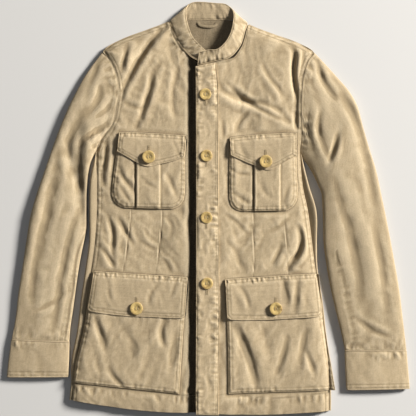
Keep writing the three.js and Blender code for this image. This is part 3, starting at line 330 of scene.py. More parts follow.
class Path:
    """A line of points on the cloth that seams, folds and stitches follow."""

    def __init__(self, points):
        self.points = np.array(points, dtype=float)
        steps = np.diff(self.points, axis=0)
        self.lengths = np.hypot(steps[:, 0], steps[:, 1])
        self.starts = running(self.lengths)
        self.length = self.starts[-1]

    def nearest(self, x, y):
        """Distance to the line, the share of its points passed, and the millimetres passed."""
        best = np.full(np.shape(x), np.inf)
        along = np.zeros(np.shape(x))
        passed = np.zeros(np.shape(x))
        count = len(self.lengths)
        for k in range(count):
            ax, ay = self.points[k]
            bx, by = self.points[k + 1]
            dx, dy = bx - ax, by - ay
            square = dx * dx + dy * dy
            if square == 0:
                continue
            t = clamp(((x - ax) * dx + (y - ay) * dy) / square)
            distance = np.hypot(x - ax - dx * t, y - ay - dy * t)
            closer = distance < best
            best = np.where(closer, distance, best)
            along = np.where(closer, (k + t) / count, along)
            passed = np.where(closer, self.starts[k] + t * self.lengths[k], passed)
        return best, along, passed

    def inside(self, x, y):
        """Whether places lie within the line, which closes on itself."""
        found = np.zeros(np.shape(x), dtype=bool)
        for (ax, ay), (bx, by) in zip(self.points[:-1], self.points[1:]):
            if ay == by:
                continue
            crosses = ((ay > y) != (by > y)) & (x < ax + (y - ay) * (bx - ax) / (by - ay))
            found ^= crosses
        return found

    def moved(self, by):
        """The line moved sideways, to its left where by is positive."""
        step = unit(np.gradient(self.points, axis=0))
        return Path(self.points + by * np.stack([-step[:, 1], step[:, 0]], axis=1))

    def at(self, millimetres):
        """Points at the given millimetres along the line."""
        x = np.interp(millimetres, self.starts, self.points[:, 0])
        y = np.interp(millimetres, self.starts, self.points[:, 1])
        return x, y

    def smoothed(self, count):
        """The line on a smooth curve through its points."""
        rows = {"x": self.points[:, 0], "y": self.points[:, 1]}
        fine = resample(rows, np.linspace(0, len(self.points) - 1, count))
        return Path(points_of(fine, "x", "y"))


def fold_path(fold):
    """The arc of a fold through its three points."""
    x1, y1, x2, y2, x3, y3 = fold[:6]
    t = np.linspace(0, 2, 9)
    first, second, third = (t - 1) * (t - 2) / 2, t * (2 - t), t * (t - 1) / 2
    return Path(np.stack([x1 * first + x2 * second + x3 * third,
                          y1 * first + y2 * second + y3 * third], axis=1))


FOLD_ENDS = 0.12
CREASE_ENDS = 0.03


def swell(along, ends=CREASE_ENDS):
    """Rises from near 0 at one end of a line to 1 in its middle and falls again."""
    return np.sin(math.pi * mix(ends, 1 - ends, along))


def fold_depth(folds, x, y):
    """How deep all the folds together lie at each place."""
    depth = np.zeros(np.shape(x))
    for fold in folds:
        reach, deep = fold[6:8]
        distance, along, _ = fold_path(fold).nearest(x, y)
        depth += deep * bump_at(distance, reach) * swell(along, FOLD_ENDS)
    return depth


def fold_shoulders(folds, x, y, height=0.45):
    """The soft ridge that stands on one side of each fold, and the sharper line in its bottom."""
    rise = np.zeros(np.shape(x))
    for fold in folds:
        reach, deep = fold[6:8]
        path = fold_path(fold)
        distance, along, _ = path.nearest(x, y)
        lengthwise = swell(along)
        turn = math.copysign(1, fold[3] - fold[1] + 0.3 * (fold[2] - fold[0]))
        beside, _, _ = path.moved(-reach * 1.05 * turn).nearest(x, y)
        rise += height * deep * bump_at(beside, reach * 1.25) * lengthwise
        rise -= 0.35 * deep * bump_at(distance, reach * 0.4) * lengthwise
    return rise


# Places along the rows of a front or the back, as in the solids
ARMHOLE_STEPS = 9
STATIONS = np.concatenate([
    np.linspace(0, UNDERARM, 14, endpoint=False),
    np.linspace(UNDERARM, SHOULDER, ARMHOLE_STEPS, endpoint=False),
    np.linspace(SHOULDER, LAST_ROW, 6)])
TOP_ROUNDNESS = 0.6
UNDER_ROUNDNESS = 0.5
FOLDS_FROM_EDGE = 12.0


def armhole_top(share):
    return mix(MID_EDGE, SLEEVE_HEAD, np.sin(math.pi * clamp(share)) ** TOP_ROUNDNESS)


def armhole_bottom(share):
    return MID_EDGE * (1 - np.sin(math.pi * clamp(share)) ** UNDER_ROUNDNESS)


def outline_of(rows, left="l", right="r"):
    """The closed outline of a table with a left and a right edge, or a top and a bottom one."""
    first = points_of(rows, left + "x", left + "y")
    second = points_of(rows, right + "x", right + "y")[::-1]
    return Path(np.concatenate([first, second, first[:1]]))


POCKET_OUTLINES = {place: outline_of(rows) for place, rows in POCKETS.items()}
FLAP_OUTLINES = {place: outline_of(columns, "t", "b") for place, columns in FLAPS.items()}


class Front:
    """One front: its outline with the heights of its edge, its folds and what is sewn on it."""

    def __init__(self, side, rows, sides):
        self.side, self.rows = side, rows
        self.outward = math.copysign(1, rows["sx"][0])
        edge = resample(rows, STATIONS)
        self.outline = Path(points_of(edge, "sx", "sy"))
        seam = resample(sides, STATIONS[STATIONS < UNDERARM])["height"]
        share = (STATIONS - UNDERARM) / (SHOULDER - UNDERARM)
        heights = np.where(STATIONS < SHOULDER, armhole_top(share), MID_EDGE)
        heights[:len(seam)] = seam
        self.heights = heights
        self.folds = FOLDS["front_" + side]
        self.laid_on = [POCKET_OUTLINES[p] for p in POCKETS if SIDE_OF[p] == side]
        self.laid_on += [FLAP_OUTLINES[p] for p in FLAPS if SIDE_OF[p] == side]

    def clear(self, x, y):
        """0 under pockets and flaps, rising to 1 where the cloth is free."""
        share = np.ones(np.shape(x))
        for outline in self.laid_on:
            distance = np.where(outline.inside(x, y), 0.0, outline.nearest(x, y)[0])
            share = np.minimum(share, ease((distance - 2) / NEAR_POCKET))
        return share

    def step(self, x):
        """The left front lies on the right one along the centre."""
        if self.side == "right":
            return 0.0
        return OVERLAP_STEP * (1 - ease((x - OVERLAP_START) / (OVERLAP_END - OVERLAP_START)))

    def height(self, x, y):
        """The upper side of the front as in its solid."""
        distance, along, _ = self.outline.nearest(x, y)
        edge = np.interp(along * (len(self.heights) - 1), np.arange(len(self.heights)), self.heights)
        folds = fold_depth(self.folds, x, y) * self.clear(x, y) * ease(distance / FOLDS_FROM_EDGE)
        return mix(edge, BODY_LOFT, roll(distance / EDGE_ROLL)) + self.step(x) - folds


FRONTS = {"right": Front("right", RIGHT_FRONT, RIGHT_SIDE), "left": Front("left", LEFT_FRONT, LEFT_SIDE)}


def pocket_height(place, x, y):
    """The upper side of a pocket as in its solid."""
    outline = POCKET_OUTLINES[place]
    distance = np.where(outline.inside(x, y), outline.nearest(x, y)[0], 0.0)
    puff = POCKET_PUFF * roll(distance / PUFF_REACH)
    folds = np.minimum(fold_depth(FOLDS[place], x, y), puff)
    pleat = 0.0
    if place in PLEATS:
        centre, half = PLEATS[place]
        pleat = PLEAT_RISE * (1 - ease((np.abs(x - centre) - half + PLEAT_EDGE) / (2 * PLEAT_EDGE)))
    return FRONTS[SIDE_OF[place]].height(x, y) + LAYER_GAP + CLOTH + puff - folds + pleat


def flap_seam(place):
    return Path(points_of(FLAPS[place], "tx", "ty"))


def flap_height(place, x, y):
    """The upper side of a flap as in its solid."""
    over = ease(flap_seam(place).nearest(x, y)[0] / FLAP_RAMP)
    low = FRONTS[SIDE_OF[place]].height(x, y) + LAYER_GAP + CLOTH
    high = pocket_height(place, x, y) + LAYER_GAP + CLOTH
    return mix(low, high, over) + FLAP_STAND * over


def placket_height(x, y):
    return FRONTS["left"].height(x, y) + LAYER_GAP + CLOTH


# Sewn detail on the cloth's surface: grooves of stitching, puckers beside seams, and washed creases.
GROOVE_HALF = 1.3
GROOVE_DEPTH = 0.45


def groove(distance, depth=GROOVE_DEPTH):
    return -depth * bump_at(np.abs(distance), GROOVE_HALF)


PUCKER_GAIN = 3.2


def puckers(distance, passed, seed, depth, pitch=8.0, reach=14.0):
    """Short ridges and hollows square to a seam, strongest a little way in from it."""
    fade = ease(distance / (reach * 0.16)) * (1 - ease((distance - reach * 0.2) / (reach * 0.8)))
    strength = 0.7 + 1.3 * smooth_noise(passed / 55, passed * 0 + 7.5, seed + 1)
    waves = smooth_noise(passed / pitch, distance / (pitch * 3.2), seed)
    waves += 0.5 * smooth_noise(passed / (pitch * 0.55), distance / (pitch * 2), seed + 2)
    return depth * fade * clamp(strength, 0.15, 1.8) * waves * PUCKER_GAIN


def creases(x, y, seed, angle, long_size, short_size):
    """Uneven soft ridges that run mostly one way."""
    c, s = math.cos(angle), math.sin(angle)
    bend = smooth_noise(x / (long_size * 0.9), y / (long_size * 0.9), seed + 5) * short_size * 1.4
    u = (x * c + y * s) / long_size
    v = (-x * s + y * c + bend) / short_size
    wave = smooth_noise(u, v, seed)
    sharp = 1 - np.abs(smooth_noise(u * 0.8 + 9, v * 0.7 + 3, seed + 1)) * 3.2
    return wave + 0.45 * clamp(sharp, -0.4, 1) - 0.12


# Layers of creases: what is added to the seed, the turn, length, width and height of each
CRUMPLE_LAYERS = [(60, -0.35, 150, 58, 2.4), (0, 0.0, 80, 24, 1.3), (20, 0.5, 36, 11, 0.5),
                  (40, -0.7, 13, 6.0, 0.27)]


def crumple(x, y, seed, angle=0.0, amount=1.0):
    """The washed, lived-in surface of drill: soft waves, smaller creases and a fine grain of dents."""
    layers = [creases(x, y, seed + more, angle + turn, long_size, short_size) * height
              for more, turn, long_size, short_size, height in CRUMPLE_LAYERS]
    return amount * sum(layers)


def above(low, z, soft=0.5):
    """A surface kept clear of the one that it lies on, without a hard line where they would meet."""
    return (low + z + np.sqrt((z - low) ** 2 + soft ** 2)) / 2


# Creases as seen from above, each a line of places with its reach, its depth and the side that its
# ridge stands on. The places are pixels of the photo, counted from its upper left corner, where one
# pixel is 1.9 mm; a reach and a depth are millimetres.
PIXEL_MM = 1.9
PHOTO_MIDDLE = (208.0, 207.5)
CREASE_WIDTH = 1.35
SMALL_CREASE = 5.5
CREASES = {
    "front_right": [
        ([(170, 22), (160, 33), (150, 42), (145, 50), (137, 62), (132, 72), (128, 82), (121, 94)], 9, 2.6, 1),
        ([(128, 43), (127, 52), (124, 62), (122, 70)], 5, 2.2, 1),
        ([(160, 64), (152, 75), (149, 92), (145, 105), (140, 120), (135, 130)], 7, 2.4, 1),
        ([(181, 62), (175, 80), (173, 100), (176, 124)], 7, 1.8, -1),
        ([(118, 96), (127, 104), (138, 108), (147, 107)], 5, 1.8, 1),
        ([(107, 138), (106, 160), (101, 172), (104, 185)], 5, 2.6, 1),
        ([(108, 216), (113, 232), (112, 250), (116, 262)], 6, 2.2, 1),
        ([(102, 248), (109, 259), (114, 268)], 5, 1.5, 1),
        ([(119, 218), (126, 232), (132, 242)], 5, 1.1, -1),
        ([(140, 240), (150, 247), (158, 250)], 4, 1.6, 1),
        ([(163, 258), (168, 266), (171, 274)], 4, 1.6, 1),
        ([(166, 215), (172, 226), (170, 240)], 5, 1.4, -1),
        ([(192, 348), (186, 367), (184, 376)], 5, 2.0, 1)],
    "front_left": [
        ([(294, 43), (295, 55), (293.5, 75), (297, 97), (297, 110)], 6, 3.4, 1),
        ([(301, 43), (303, 55), (301, 80)], 4, 2.0, 1),
        ([(297, 100), (297, 112), (297.5, 130), (298, 152)], 7, 4.0, 1),
        ([(219, 82), (222, 90), (230, 95), (240, 100), (250, 102.5), (260, 103), (270, 107), (280, 112),
          (291, 124)], 8, 3.4, -1),
        ([(222, 120), (223, 130), (224, 140)], 4, 1.8, -1),
        ([(248, 112), (240, 122), (235, 132)], 5, 1.8, 1),
        ([(262, 62), (268, 76), (279, 90), (284, 98)], 6, 1.8, -1),
        ([(299, 228), (302, 240), (299, 252), (291, 261), (287, 272)], 7, 4.2, 1),
        ([(283, 246), (272, 264)], 5, 2.0, 1),
        ([(225, 214), (236, 222), (247, 234)], 4, 1.6, 1),
        ([(292, 214), (280, 226), (268, 232)], 5, 1.8, -1),
        ([(226, 240), (236, 252), (240, 266)], 5, 1.6, 1)],
    "sleeve_right": [
        ([(103, 54), (98, 62), (95, 70), (90, 84)], 8, 2.2, 1),
        ([(113, 99), (106, 110), (96, 118)], 6, 2.4, -1),
        ([(110, 123), (97, 131), (88, 137), (82, 142)], 7, 2.8, 1),
        ([(86, 110), (75, 130), (68, 144), (72, 165), (80, 198)], 13, 3.2, 1),
        ([(60, 145), (53, 180), (46, 220), (41, 262)], 15, 2.4, -1),
        ([(78, 212), (68, 246), (60, 286), (54, 328)], 9, 2.2, 1),
        ([(41, 222), (35, 262), (31, 300)], 9, 1.6, 1),
        ([(66, 292), (50, 304), (38, 310)], 6, 1.4, 1),
        ([(84, 128), (80, 150), (81, 190), (84, 228)], 11, 3.6, 1),
        ([(100, 84), (98, 98), (92, 112)], 7, 2.0, -1)],
    "sleeve_left": [
        ([(316, 58), (319, 65), (321, 75), (325, 85), (335, 98)], 7, 2.4, 1),
        ([(342, 92), (352, 110), (360, 128), (368, 160), (374, 200)], 13, 2.8, 1),
        ([(320, 112), (318, 128), (322, 144), (330, 160)], 7, 2.6, -1),
        ([(337, 135), (333, 150), (328, 162)], 6, 2.2, 1),
        ([(334, 178), (344, 212), (354, 252), (362, 300)], 11, 2.2, 1),
        ([(374, 222), (381, 262), (387, 310)], 10, 1.8, -1),
        ([(356, 318), (372, 330), (388, 336)], 6, 1.6, 1)],
    "chest_right": [
        ([(119, 164), (121, 172), (125, 180), (131, 187), (134, 192)], 5, 2.4, 1),
        ([(119, 184), (125, 194), (131, 203)], 4, 1.5, 1),
        ([(166, 172), (172, 184), (178, 200)], 6, 1.4, -1),
        ([(140, 176), (148, 184), (157, 188)], 4, 1.1, 1),
        ([(160, 156), (170, 150), (182, 147)], 5, 1.0, 1)],
    "chest_left": [
        ([(232, 192), (240, 198), (250, 204)], 5, 2.0, 1),
        ([(231, 171), (240, 174), (250, 175)], 4, 1.6, 1),
        ([(290, 184), (285, 196), (283, 206)], 5, 1.8, 1),
        ([(259, 178), (263, 190), (271, 198)], 5, 1.2, -1)],
    "lower_right": [
        ([(95, 315), (98, 325), (104, 340), (106, 350)], 6, 2.4, 1),
        ([(96, 352), (98, 362), (102, 372)], 4, 1.8, 1),
        ([(109, 364), (114, 376), (121, 384)], 5, 2.0, 1),
        ([(166, 318), (161, 333), (165, 345)], 6, 2.2, -1),
        ([(178, 328), (174, 350), (171, 366)], 8, 2.6, 1),
        ([(118, 320), (130, 338), (135, 358)], 7, 1.8, 1),
        ([(150, 350), (146, 366), (139, 380)], 6, 1.8, -1)],
    "lower_left": [
        ([(232, 325), (240, 340), (245, 350), (250, 362), (254, 375), (257, 388)], 9, 3.4, 1),
        ([(287, 334), (283, 350), (279, 362), (277, 374)], 7, 2.8, 1),
        ([(306, 328), (303, 342), (300, 355), (300, 364)], 5, 2.4, 1),
        ([(306, 350), (310, 362), (314, 372)], 4, 2.0, -1),
        ([(262, 325), (267, 345), (269, 365)], 8, 2.0, -1)],
    "flap_lower_right": [
        ([(177, 279), (174, 288), (171, 297)], 4, 1.2, 1),
        ([(109, 280), (109, 290), (111, 300)], 4, 1.2, 1),
        ([(160, 283), (152, 292), (148, 304)], 6, 1.2, 1)],
    "flap_lower_left": [
        ([(284, 277), (284, 288), (286, 306)], 8, 3.0, 1),
        ([(297, 279), (296, 292), (294, 314)], 7, 2.6, 1),
        ([(240, 285), (246, 296), (249, 308)], 6, 1.2, -1)],
    "flap_chest_right": [([(170, 138), (176, 146), (180, 158)], 5, 0.9, 1)],
    "flap_chest_left": [([(240, 143), (243, 152), (248, 158)], 5, 0.9, 1)],
}


def from_pixels(points):
    """Pixels of the photo as millimetres on the cutting table."""
    return (np.array(points, dtype=float) - PHOTO_MIDDLE) * (PIXEL_MM, -PIXEL_MM)


def creased(place, x, y):
    """The named creases of one piece: a valley with a sharper bottom and a ridge along one side."""
    rise = np.zeros(np.shape(x))
    for number, (points, reach, depth, side) in enumerate(CREASES[place]):
        line = from_pixels(points)
        low, high = line.min(axis=0) - reach * 3.5, line.max(axis=0) + reach * 3.5
        near = (x > low[0]) & (x < high[0]) & (y > low[1]) & (y < high[1])
        if not near.any():
            continue
        path = Path(line).smoothed(24)
        px, py = x[near], y[near]
        distance, along, passed = path.nearest(px, py)
        if reach < SMALL_CREASE:
            reach, depth = reach * 1.25, depth * 0.7
        if place.startswith("sleeve"):
            depth = depth * 1.5
        if place.startswith("lower"):
            reach, depth = reach * 1.5, depth * 0.7
        reach = reach * CREASE_WIDTH
        beside = path.moved(side * reach * 1.1).nearest(px, py)[0]
        uneven = 0.85 + 0.7 * smooth_noise(passed / 24, passed * 0 + number, CREASE_SEED)
        lengthwise = swell(along) ** 0.7 * uneven
        valley = 0.8 * bump_at(distance, reach) + 0.2 * bump_at(distance, reach * 0.45)
        rise[near] += depth * lengthwise * (0.6 * bump_at(beside, reach * 1.3) - valley)
    return rise


def painted_groove_shade(distance, at=0.0, amount=0.2):
    """Painted shade: how much darker the cloth is painted in the groove of a line of stitching."""
    return amount * bump_at(np.abs(distance - at), SEAM_SHADE_REACH)


def worn_edge(distance, reach=2.0):
    """How much paler the cloth is along a turned edge."""
    return 0.12 * bump_at(distance, reach)


def rounded_edge(distance, drop=0.4, reach=0.9):
    """The turned edge of a panel: it falls away over its last millimetre or so."""
    return -drop * (1 - roll(distance / reach))


# Grids of points over a panel, close together at its edges where it turns and is stitched
EDGE_PLACES = np.array([0, 0.35, 0.8, 1.3, 1.9, 2.6, 3.6, 5.0, 6.4, 7.6, 8.8])
EDGE_ZONE = EDGE_PLACES[-1]


def spread(length, step, start=True, end=True):
    """Millimetres from 0 to a length, dense at the chosen ends."""
    head = EDGE_PLACES if start else np.zeros(1)
    tail = length - EDGE_PLACES[::-1] if end else np.array([length])
    count = max(2, int(round((tail[0] - head[-1]) / step)))
    return np.concatenate([head, np.linspace(head[-1], tail[0], count + 1)[1:-1], tail])


def panel_grid(rows, step, keys="lx ly rx ry", across=None, start=True, end=True):
    """Points over a panel between two edges: rows from its table's first to its last."""
    ax, ay, bx, by = keys.split()
    fine = np.linspace(0, len(rows[ax]) - 1, 400)
    line = resample(rows, fine)
    mx, my = (line[ax] + line[bx]) / 2, (line[ay] + line[by]) / 2
    run = running(np.hypot(np.diff(mx), np.diff(my)))
    places = np.interp(spread(run[-1], step, start, end), run, fine)
    edge = resample(rows, places)
    width = np.hypot(edge[bx] - edge[ax], edge[by] - edge[ay])
    count = across or max(2, int(round((width.max() - 2 * EDGE_ZONE) / step)))
    middle = np.linspace(0, 1, count + 1)[1:-1]
    fixed = np.concatenate([EDGE_PLACES, np.full(count - 1, EDGE_ZONE), 2 * EDGE_ZONE - EDGE_PLACES[::-1]])
    share = np.concatenate([EDGE_PLACES * 0, middle, EDGE_PLACES * 0 + 1])
    narrow = np.minimum(1, width / (2.6 * EDGE_ZONE))
    t = (fixed * narrow[:, None] + share * (width - 2 * EDGE_ZONE * narrow)[:, None]) / width[:, None]
    x = mix(edge[ax][:, None], edge[bx][:, None], t)
    y = mix(edge[ay][:, None], edge[by][:, None], t)
    return x, y, t, edge


def relief_of(z, rounds=6):
    """How far each point stands over the cloth round it, in millimetres."""
    soft = z.copy()
    for _ in range(rounds):
        padded = np.pad(soft, 1, mode="edge")
        soft = (padded[:-2, 1:-1] + padded[2:, 1:-1] + padded[1:-1, :-2] + padded[1:-1, 2:]) / 4
    return z - soft


def sheet_normals(sheet, ring=False):
    """Unit normals of a grid of points."""
    if ring:
        across = np.roll(sheet, -1, axis=1) - np.roll(sheet, 1, axis=1)
    else:
        across = np.gradient(sheet, axis=1)
    normals = np.cross(across, np.gradient(sheet, axis=0))
    return unit(normals)


def new_object(name, points, faces, loop_uvs=None, attributes=None):
    """A mesh object from points in millimetres on the cutting table."""
    mesh = bpy.data.meshes.new(name)
    placed = (points + np.array([SHIFT_X, SHIFT_Y, 0.0])) * MM
    mesh.from_pydata(placed.tolist(), [], faces.tolist())
    if loop_uvs is not None:
        layer = mesh.uv_layers.new(name="cut")
        layer.data.foreach_set("uv", loop_uvs.astype(np.float32).ravel())
    for key, values in (attributes or {}).items():
        attribute = mesh.attributes.new(key, "FLOAT", "POINT")
        attribute.data.foreach_set("value", np.asarray(values, dtype=np.float32).ravel())
    mesh.validate()
    piece = bpy.data.objects.new(name, mesh)
    bpy.context.scene.collection.objects.link(piece)
    return piece


def deselect_all():
    for other in bpy.context.view_layer.objects:
        other.select_set(False)


def select_only(piece):
    deselect_all()
    piece.select_set(True)
    bpy.context.view_layer.objects.active = piece


SHARP_FROM = math.radians(58)
CUTS = {}


def layer_of(context):
    """The thickness of one layer of cloth in millimetres."""
    return context.scene.jacket_cloth.thickness * 1000


def cut_size(sheet, ring=False):
    """Width, length and area of the flat cloth that a sheet of points is made from, in metres."""
    around = np.concatenate([sheet, sheet[:, :1]], axis=1) if ring else sheet
    width = np.linalg.norm(np.diff(around, axis=1), axis=2).sum(axis=1).max()
    length = np.linalg.norm(np.diff(around, axis=0), axis=2).sum(axis=0).max()
    first = around[1:, 1:] - around[:-1, :-1]
    second = around[1:, :-1] - around[:-1, 1:]
    area = np.linalg.norm(np.cross(first, second), axis=2).sum() / 2
    return width * MM, length * MM, area * MM * MM


def cloth_wall(name, outer, inner, ring=False, tone=1.0, relief=None):
    """A closed wall of cloth between an outer and an inner sheet of points."""
    rows, columns = outer.shape[:2]
    index = np.arange(rows * columns).reshape(rows, columns)
    following = np.roll(index, -1, axis=1)
    if not ring:
        index_a, index_b = index[:, :-1], following[:, :-1]
    else:
        index_a, index_b = index, following
    low = rows * columns
    upper = np.stack([index_a[:-1], index_b[:-1], index_b[1:], index_a[1:]], axis=-1).reshape(-1, 4)
    under = upper[:, ::-1] + low
    first = np.stack([index_a[0], index_a[0] + low, index_b[0] + low, index_b[0]], axis=-1)
    last = np.stack([index_a[-1], index_b[-1], index_b[-1] + low, index_a[-1] + low], axis=-1)
    quads = [upper, under, first, last]
    if not ring:
        left, right = index[:, 0], index[:, -1]
        quads.append(np.stack([left[:-1], left[1:], left[1:] + low, left[:-1] + low], axis=-1))
        quads.append(np.stack([right[:-1], right[:-1] + low, right[1:] + low, right[1:]], axis=-1))
    faces = np.concatenate(quads)
    points = np.concatenate([outer.reshape(-1, 3), inner.reshape(-1, 3)])
    a, b, c, d = (points[faces[:, k]] for k in range(4))
    volume = np.sum(np.einsum("ij,ij->i", a, np.cross(b, c)) + np.einsum("ij,ij->i", a, np.cross(c, d)))
    if volume < 0:
        faces = faces[:, ::-1]
    run_u = np.pad(np.cumsum(np.linalg.norm(np.diff(outer, axis=1), axis=2), axis=1), ((0, 0), (1, 0)))
    run_v = np.pad(np.cumsum(np.linalg.norm(np.diff(outer, axis=0), axis=2), axis=0), ((1, 0), (0, 0)))
    run_u -= run_u[:, -1:] / 2
    flat = np.stack([run_u.ravel(), run_v.ravel()], axis=1) * MM
    uvs = np.concatenate([flat, flat])[faces]
    if ring:
        wraps = (uvs[:, :, 0].max(axis=1) - uvs[:, :, 0].min(axis=1)) > abs(run_u).max() * MM
        span = (run_u[:, -1:].mean() - run_u[:, :1].mean()) * MM
        uvs[:, :, 0] += np.where(wraps[:, None] & (uvs[:, :, 0] < 0), span, 0.0)
    if relief is None:
        relief = relief_of(outer[:, :, 2])
    CUTS[name] = cut_size(outer, ring)
    tones = np.broadcast_to(tone, (rows, columns))
    piece = new_object(name, points, faces, uvs.reshape(-1, 2), {
        "relief": np.concatenate([relief.ravel(), relief.ravel() * 0]),
        "tone": np.concatenate([tones.ravel(), tones.ravel() * 0.9])})
    select_only(piece)
    bpy.ops.object.shade_smooth_by_angle(angle=SHARP_FROM)
    return piece


# Topstitching: short rounded stitches of thread along a line on the cloth
STITCH_PITCH = 3.1
STITCH_LONG = 2.45
STITCH_HALF = 0.34
STITCH_HIGH = 0.26


def stitch_mesh(runs, pitch=STITCH_PITCH, long=STITCH_LONG, half=STITCH_HALF, high=STITCH_HIGH):
    """Points and faces of all the stitches along runs of points with upward normals."""
    sides = 5
    angles = np.arange(sides) * 2 * math.pi / sides + math.pi / 2
    all_points, all_faces, offset = [], [], 0
    for points, ups in runs:
        steps = np.linalg.norm(np.diff(points, axis=0), axis=1)
        run = running(steps)
        count = int(run[-1] / pitch)
        if count < 1:
            continue
        centres = (np.arange(count) + 0.5) * (run[-1] / count)

        def along(at, values):
            return np.stack([np.interp(at, run, values[:, k]) for k in range(3)], axis=1)

        start = along(centres - long / 2, points)
        end = along(centres + long / 2, points)
        up = along(centres, ups)
        forward = unit(end - start)
        up = unit(up - forward * np.sum(up * forward, axis=1)[:, None])
        side = np.cross(forward, up)
        ring = (side[:, None] * np.cos(angles)[None, :, None] * half
                + up[:, None] * np.sin(angles)[None, :, None] * high)
        lift = up * high * 0.55
        near = (start * 0.78 + end * 0.22 + lift)[:, None] + ring
        far = (start * 0.22 + end * 0.78 + lift)[:, None] + ring
        block = np.concatenate([start[:, None], near, far, end[:, None]], axis=1)
        k = np.arange(sides)
        n = (k + 1) % sides
        tip = 2 * sides + 1
        shape = np.concatenate([
            np.stack([k * 0, 1 + n, 1 + k], axis=1),
            np.stack([1 + k, 1 + n, 1 + sides + k], axis=1),
            np.stack([1 + n, 1 + sides + n, 1 + sides + k], axis=1),
            np.stack([k * 0 + tip, 1 + sides + k, 1 + sides + n], axis=1)])
        size = 2 * sides + 2
        faces = shape[None] + (np.arange(count) * size)[:, None, None] + offset
        all_points.append(block.reshape(-1, 3))
        all_faces.append(faces.reshape(-1, 3))
        offset += count * size
    return np.concatenate(all_points), np.concatenate(all_faces)


def surface_run(path, height, from_mm=0.0, to_mm=None):
    """A line on a height function as points in space with the surface's upward normals."""
    end = path.length if to_mm is None else to_mm
    at = np.arange(from_mm, end, 1.0)
    x, y = path.at(at)
    dx, dy = np.gradient(x), np.gradient(y)
    size = np.maximum(np.hypot(dx, dy), 1e-9)
    sx, sy = -dy / size, dx / size
    z = height(x, y)
    tilt = (height(x + sx * 0.7, y + sy * 0.7) - height(x - sx * 0.7, y - sy * 0.7)) / 1.4
    ups = np.stack([-sx * tilt, -sy * tilt, np.ones(len(x))], axis=1)
    return np.stack([x, y, z], axis=1), ups


# Sewing on the fronts: hem stitching and the narrow tucks between the pockets, from the cut
HEM_STITCH = {
    "right": [(-256.5, -329.7), (-233.7, -337.3), (-214.7, -340.1), (-55.1, -354.4), (-24.7, -358.2),
              (21, -360)],
    "left": [(-21, -360.1), (38, -354.4), (129.2, -360.1), (231, -350.6)],
}
WAIST_TUCKS = {
    "right": [[(-145, 8.5), (-146.3, -23.8), (-151, -61.8), (-155.8, -96), (-159.6, -120.7)],
              [(-85.5, -1), (-87.4, -33.3), (-90.3, -61.8), (-94.1, -90.3), (-97.9, -128.3)]],
    "left": [[(86.5, -8.6), (87.4, -80.8), (88.4, -103.6), (86.5, -132)],
             [(145.4, -8.6), (148.2, -42.8), (150.1, -80.8), (153.9, -128.3)]],
}
UNDERLAP_SINK = 6.5
UNDERLAP_FROM = 40.0
UNDERLAP_WANDER = 5.0
TUCK_HALF = 1.6
TUCK_DEPTH = 1.1
TUCK_RIDGE_FROM = 1.7
STITCH_IN = 2.0
STITCH_SECOND = 7.8
STITCH_ROWS = (STITCH_IN, STITCH_SECOND)
BUTTONHOLE_STITCH = {"pitch": 1.6, "long": 1.7, "half": 0.3, "high": 0.24}
BUTTONHOLE_SPARE = 10.0
BUTTONHOLE_OVER = 2.0


def edge_path(rows, x_key, y_key, count=60, start=None, end=None):
    """One edge of a table's panel as a smooth line."""
    last = len(rows[x_key]) - 1
    fine = resample(rows, np.linspace(start or 0, last if end is None else end, count))
    return Path(points_of(fine, x_key, y_key))


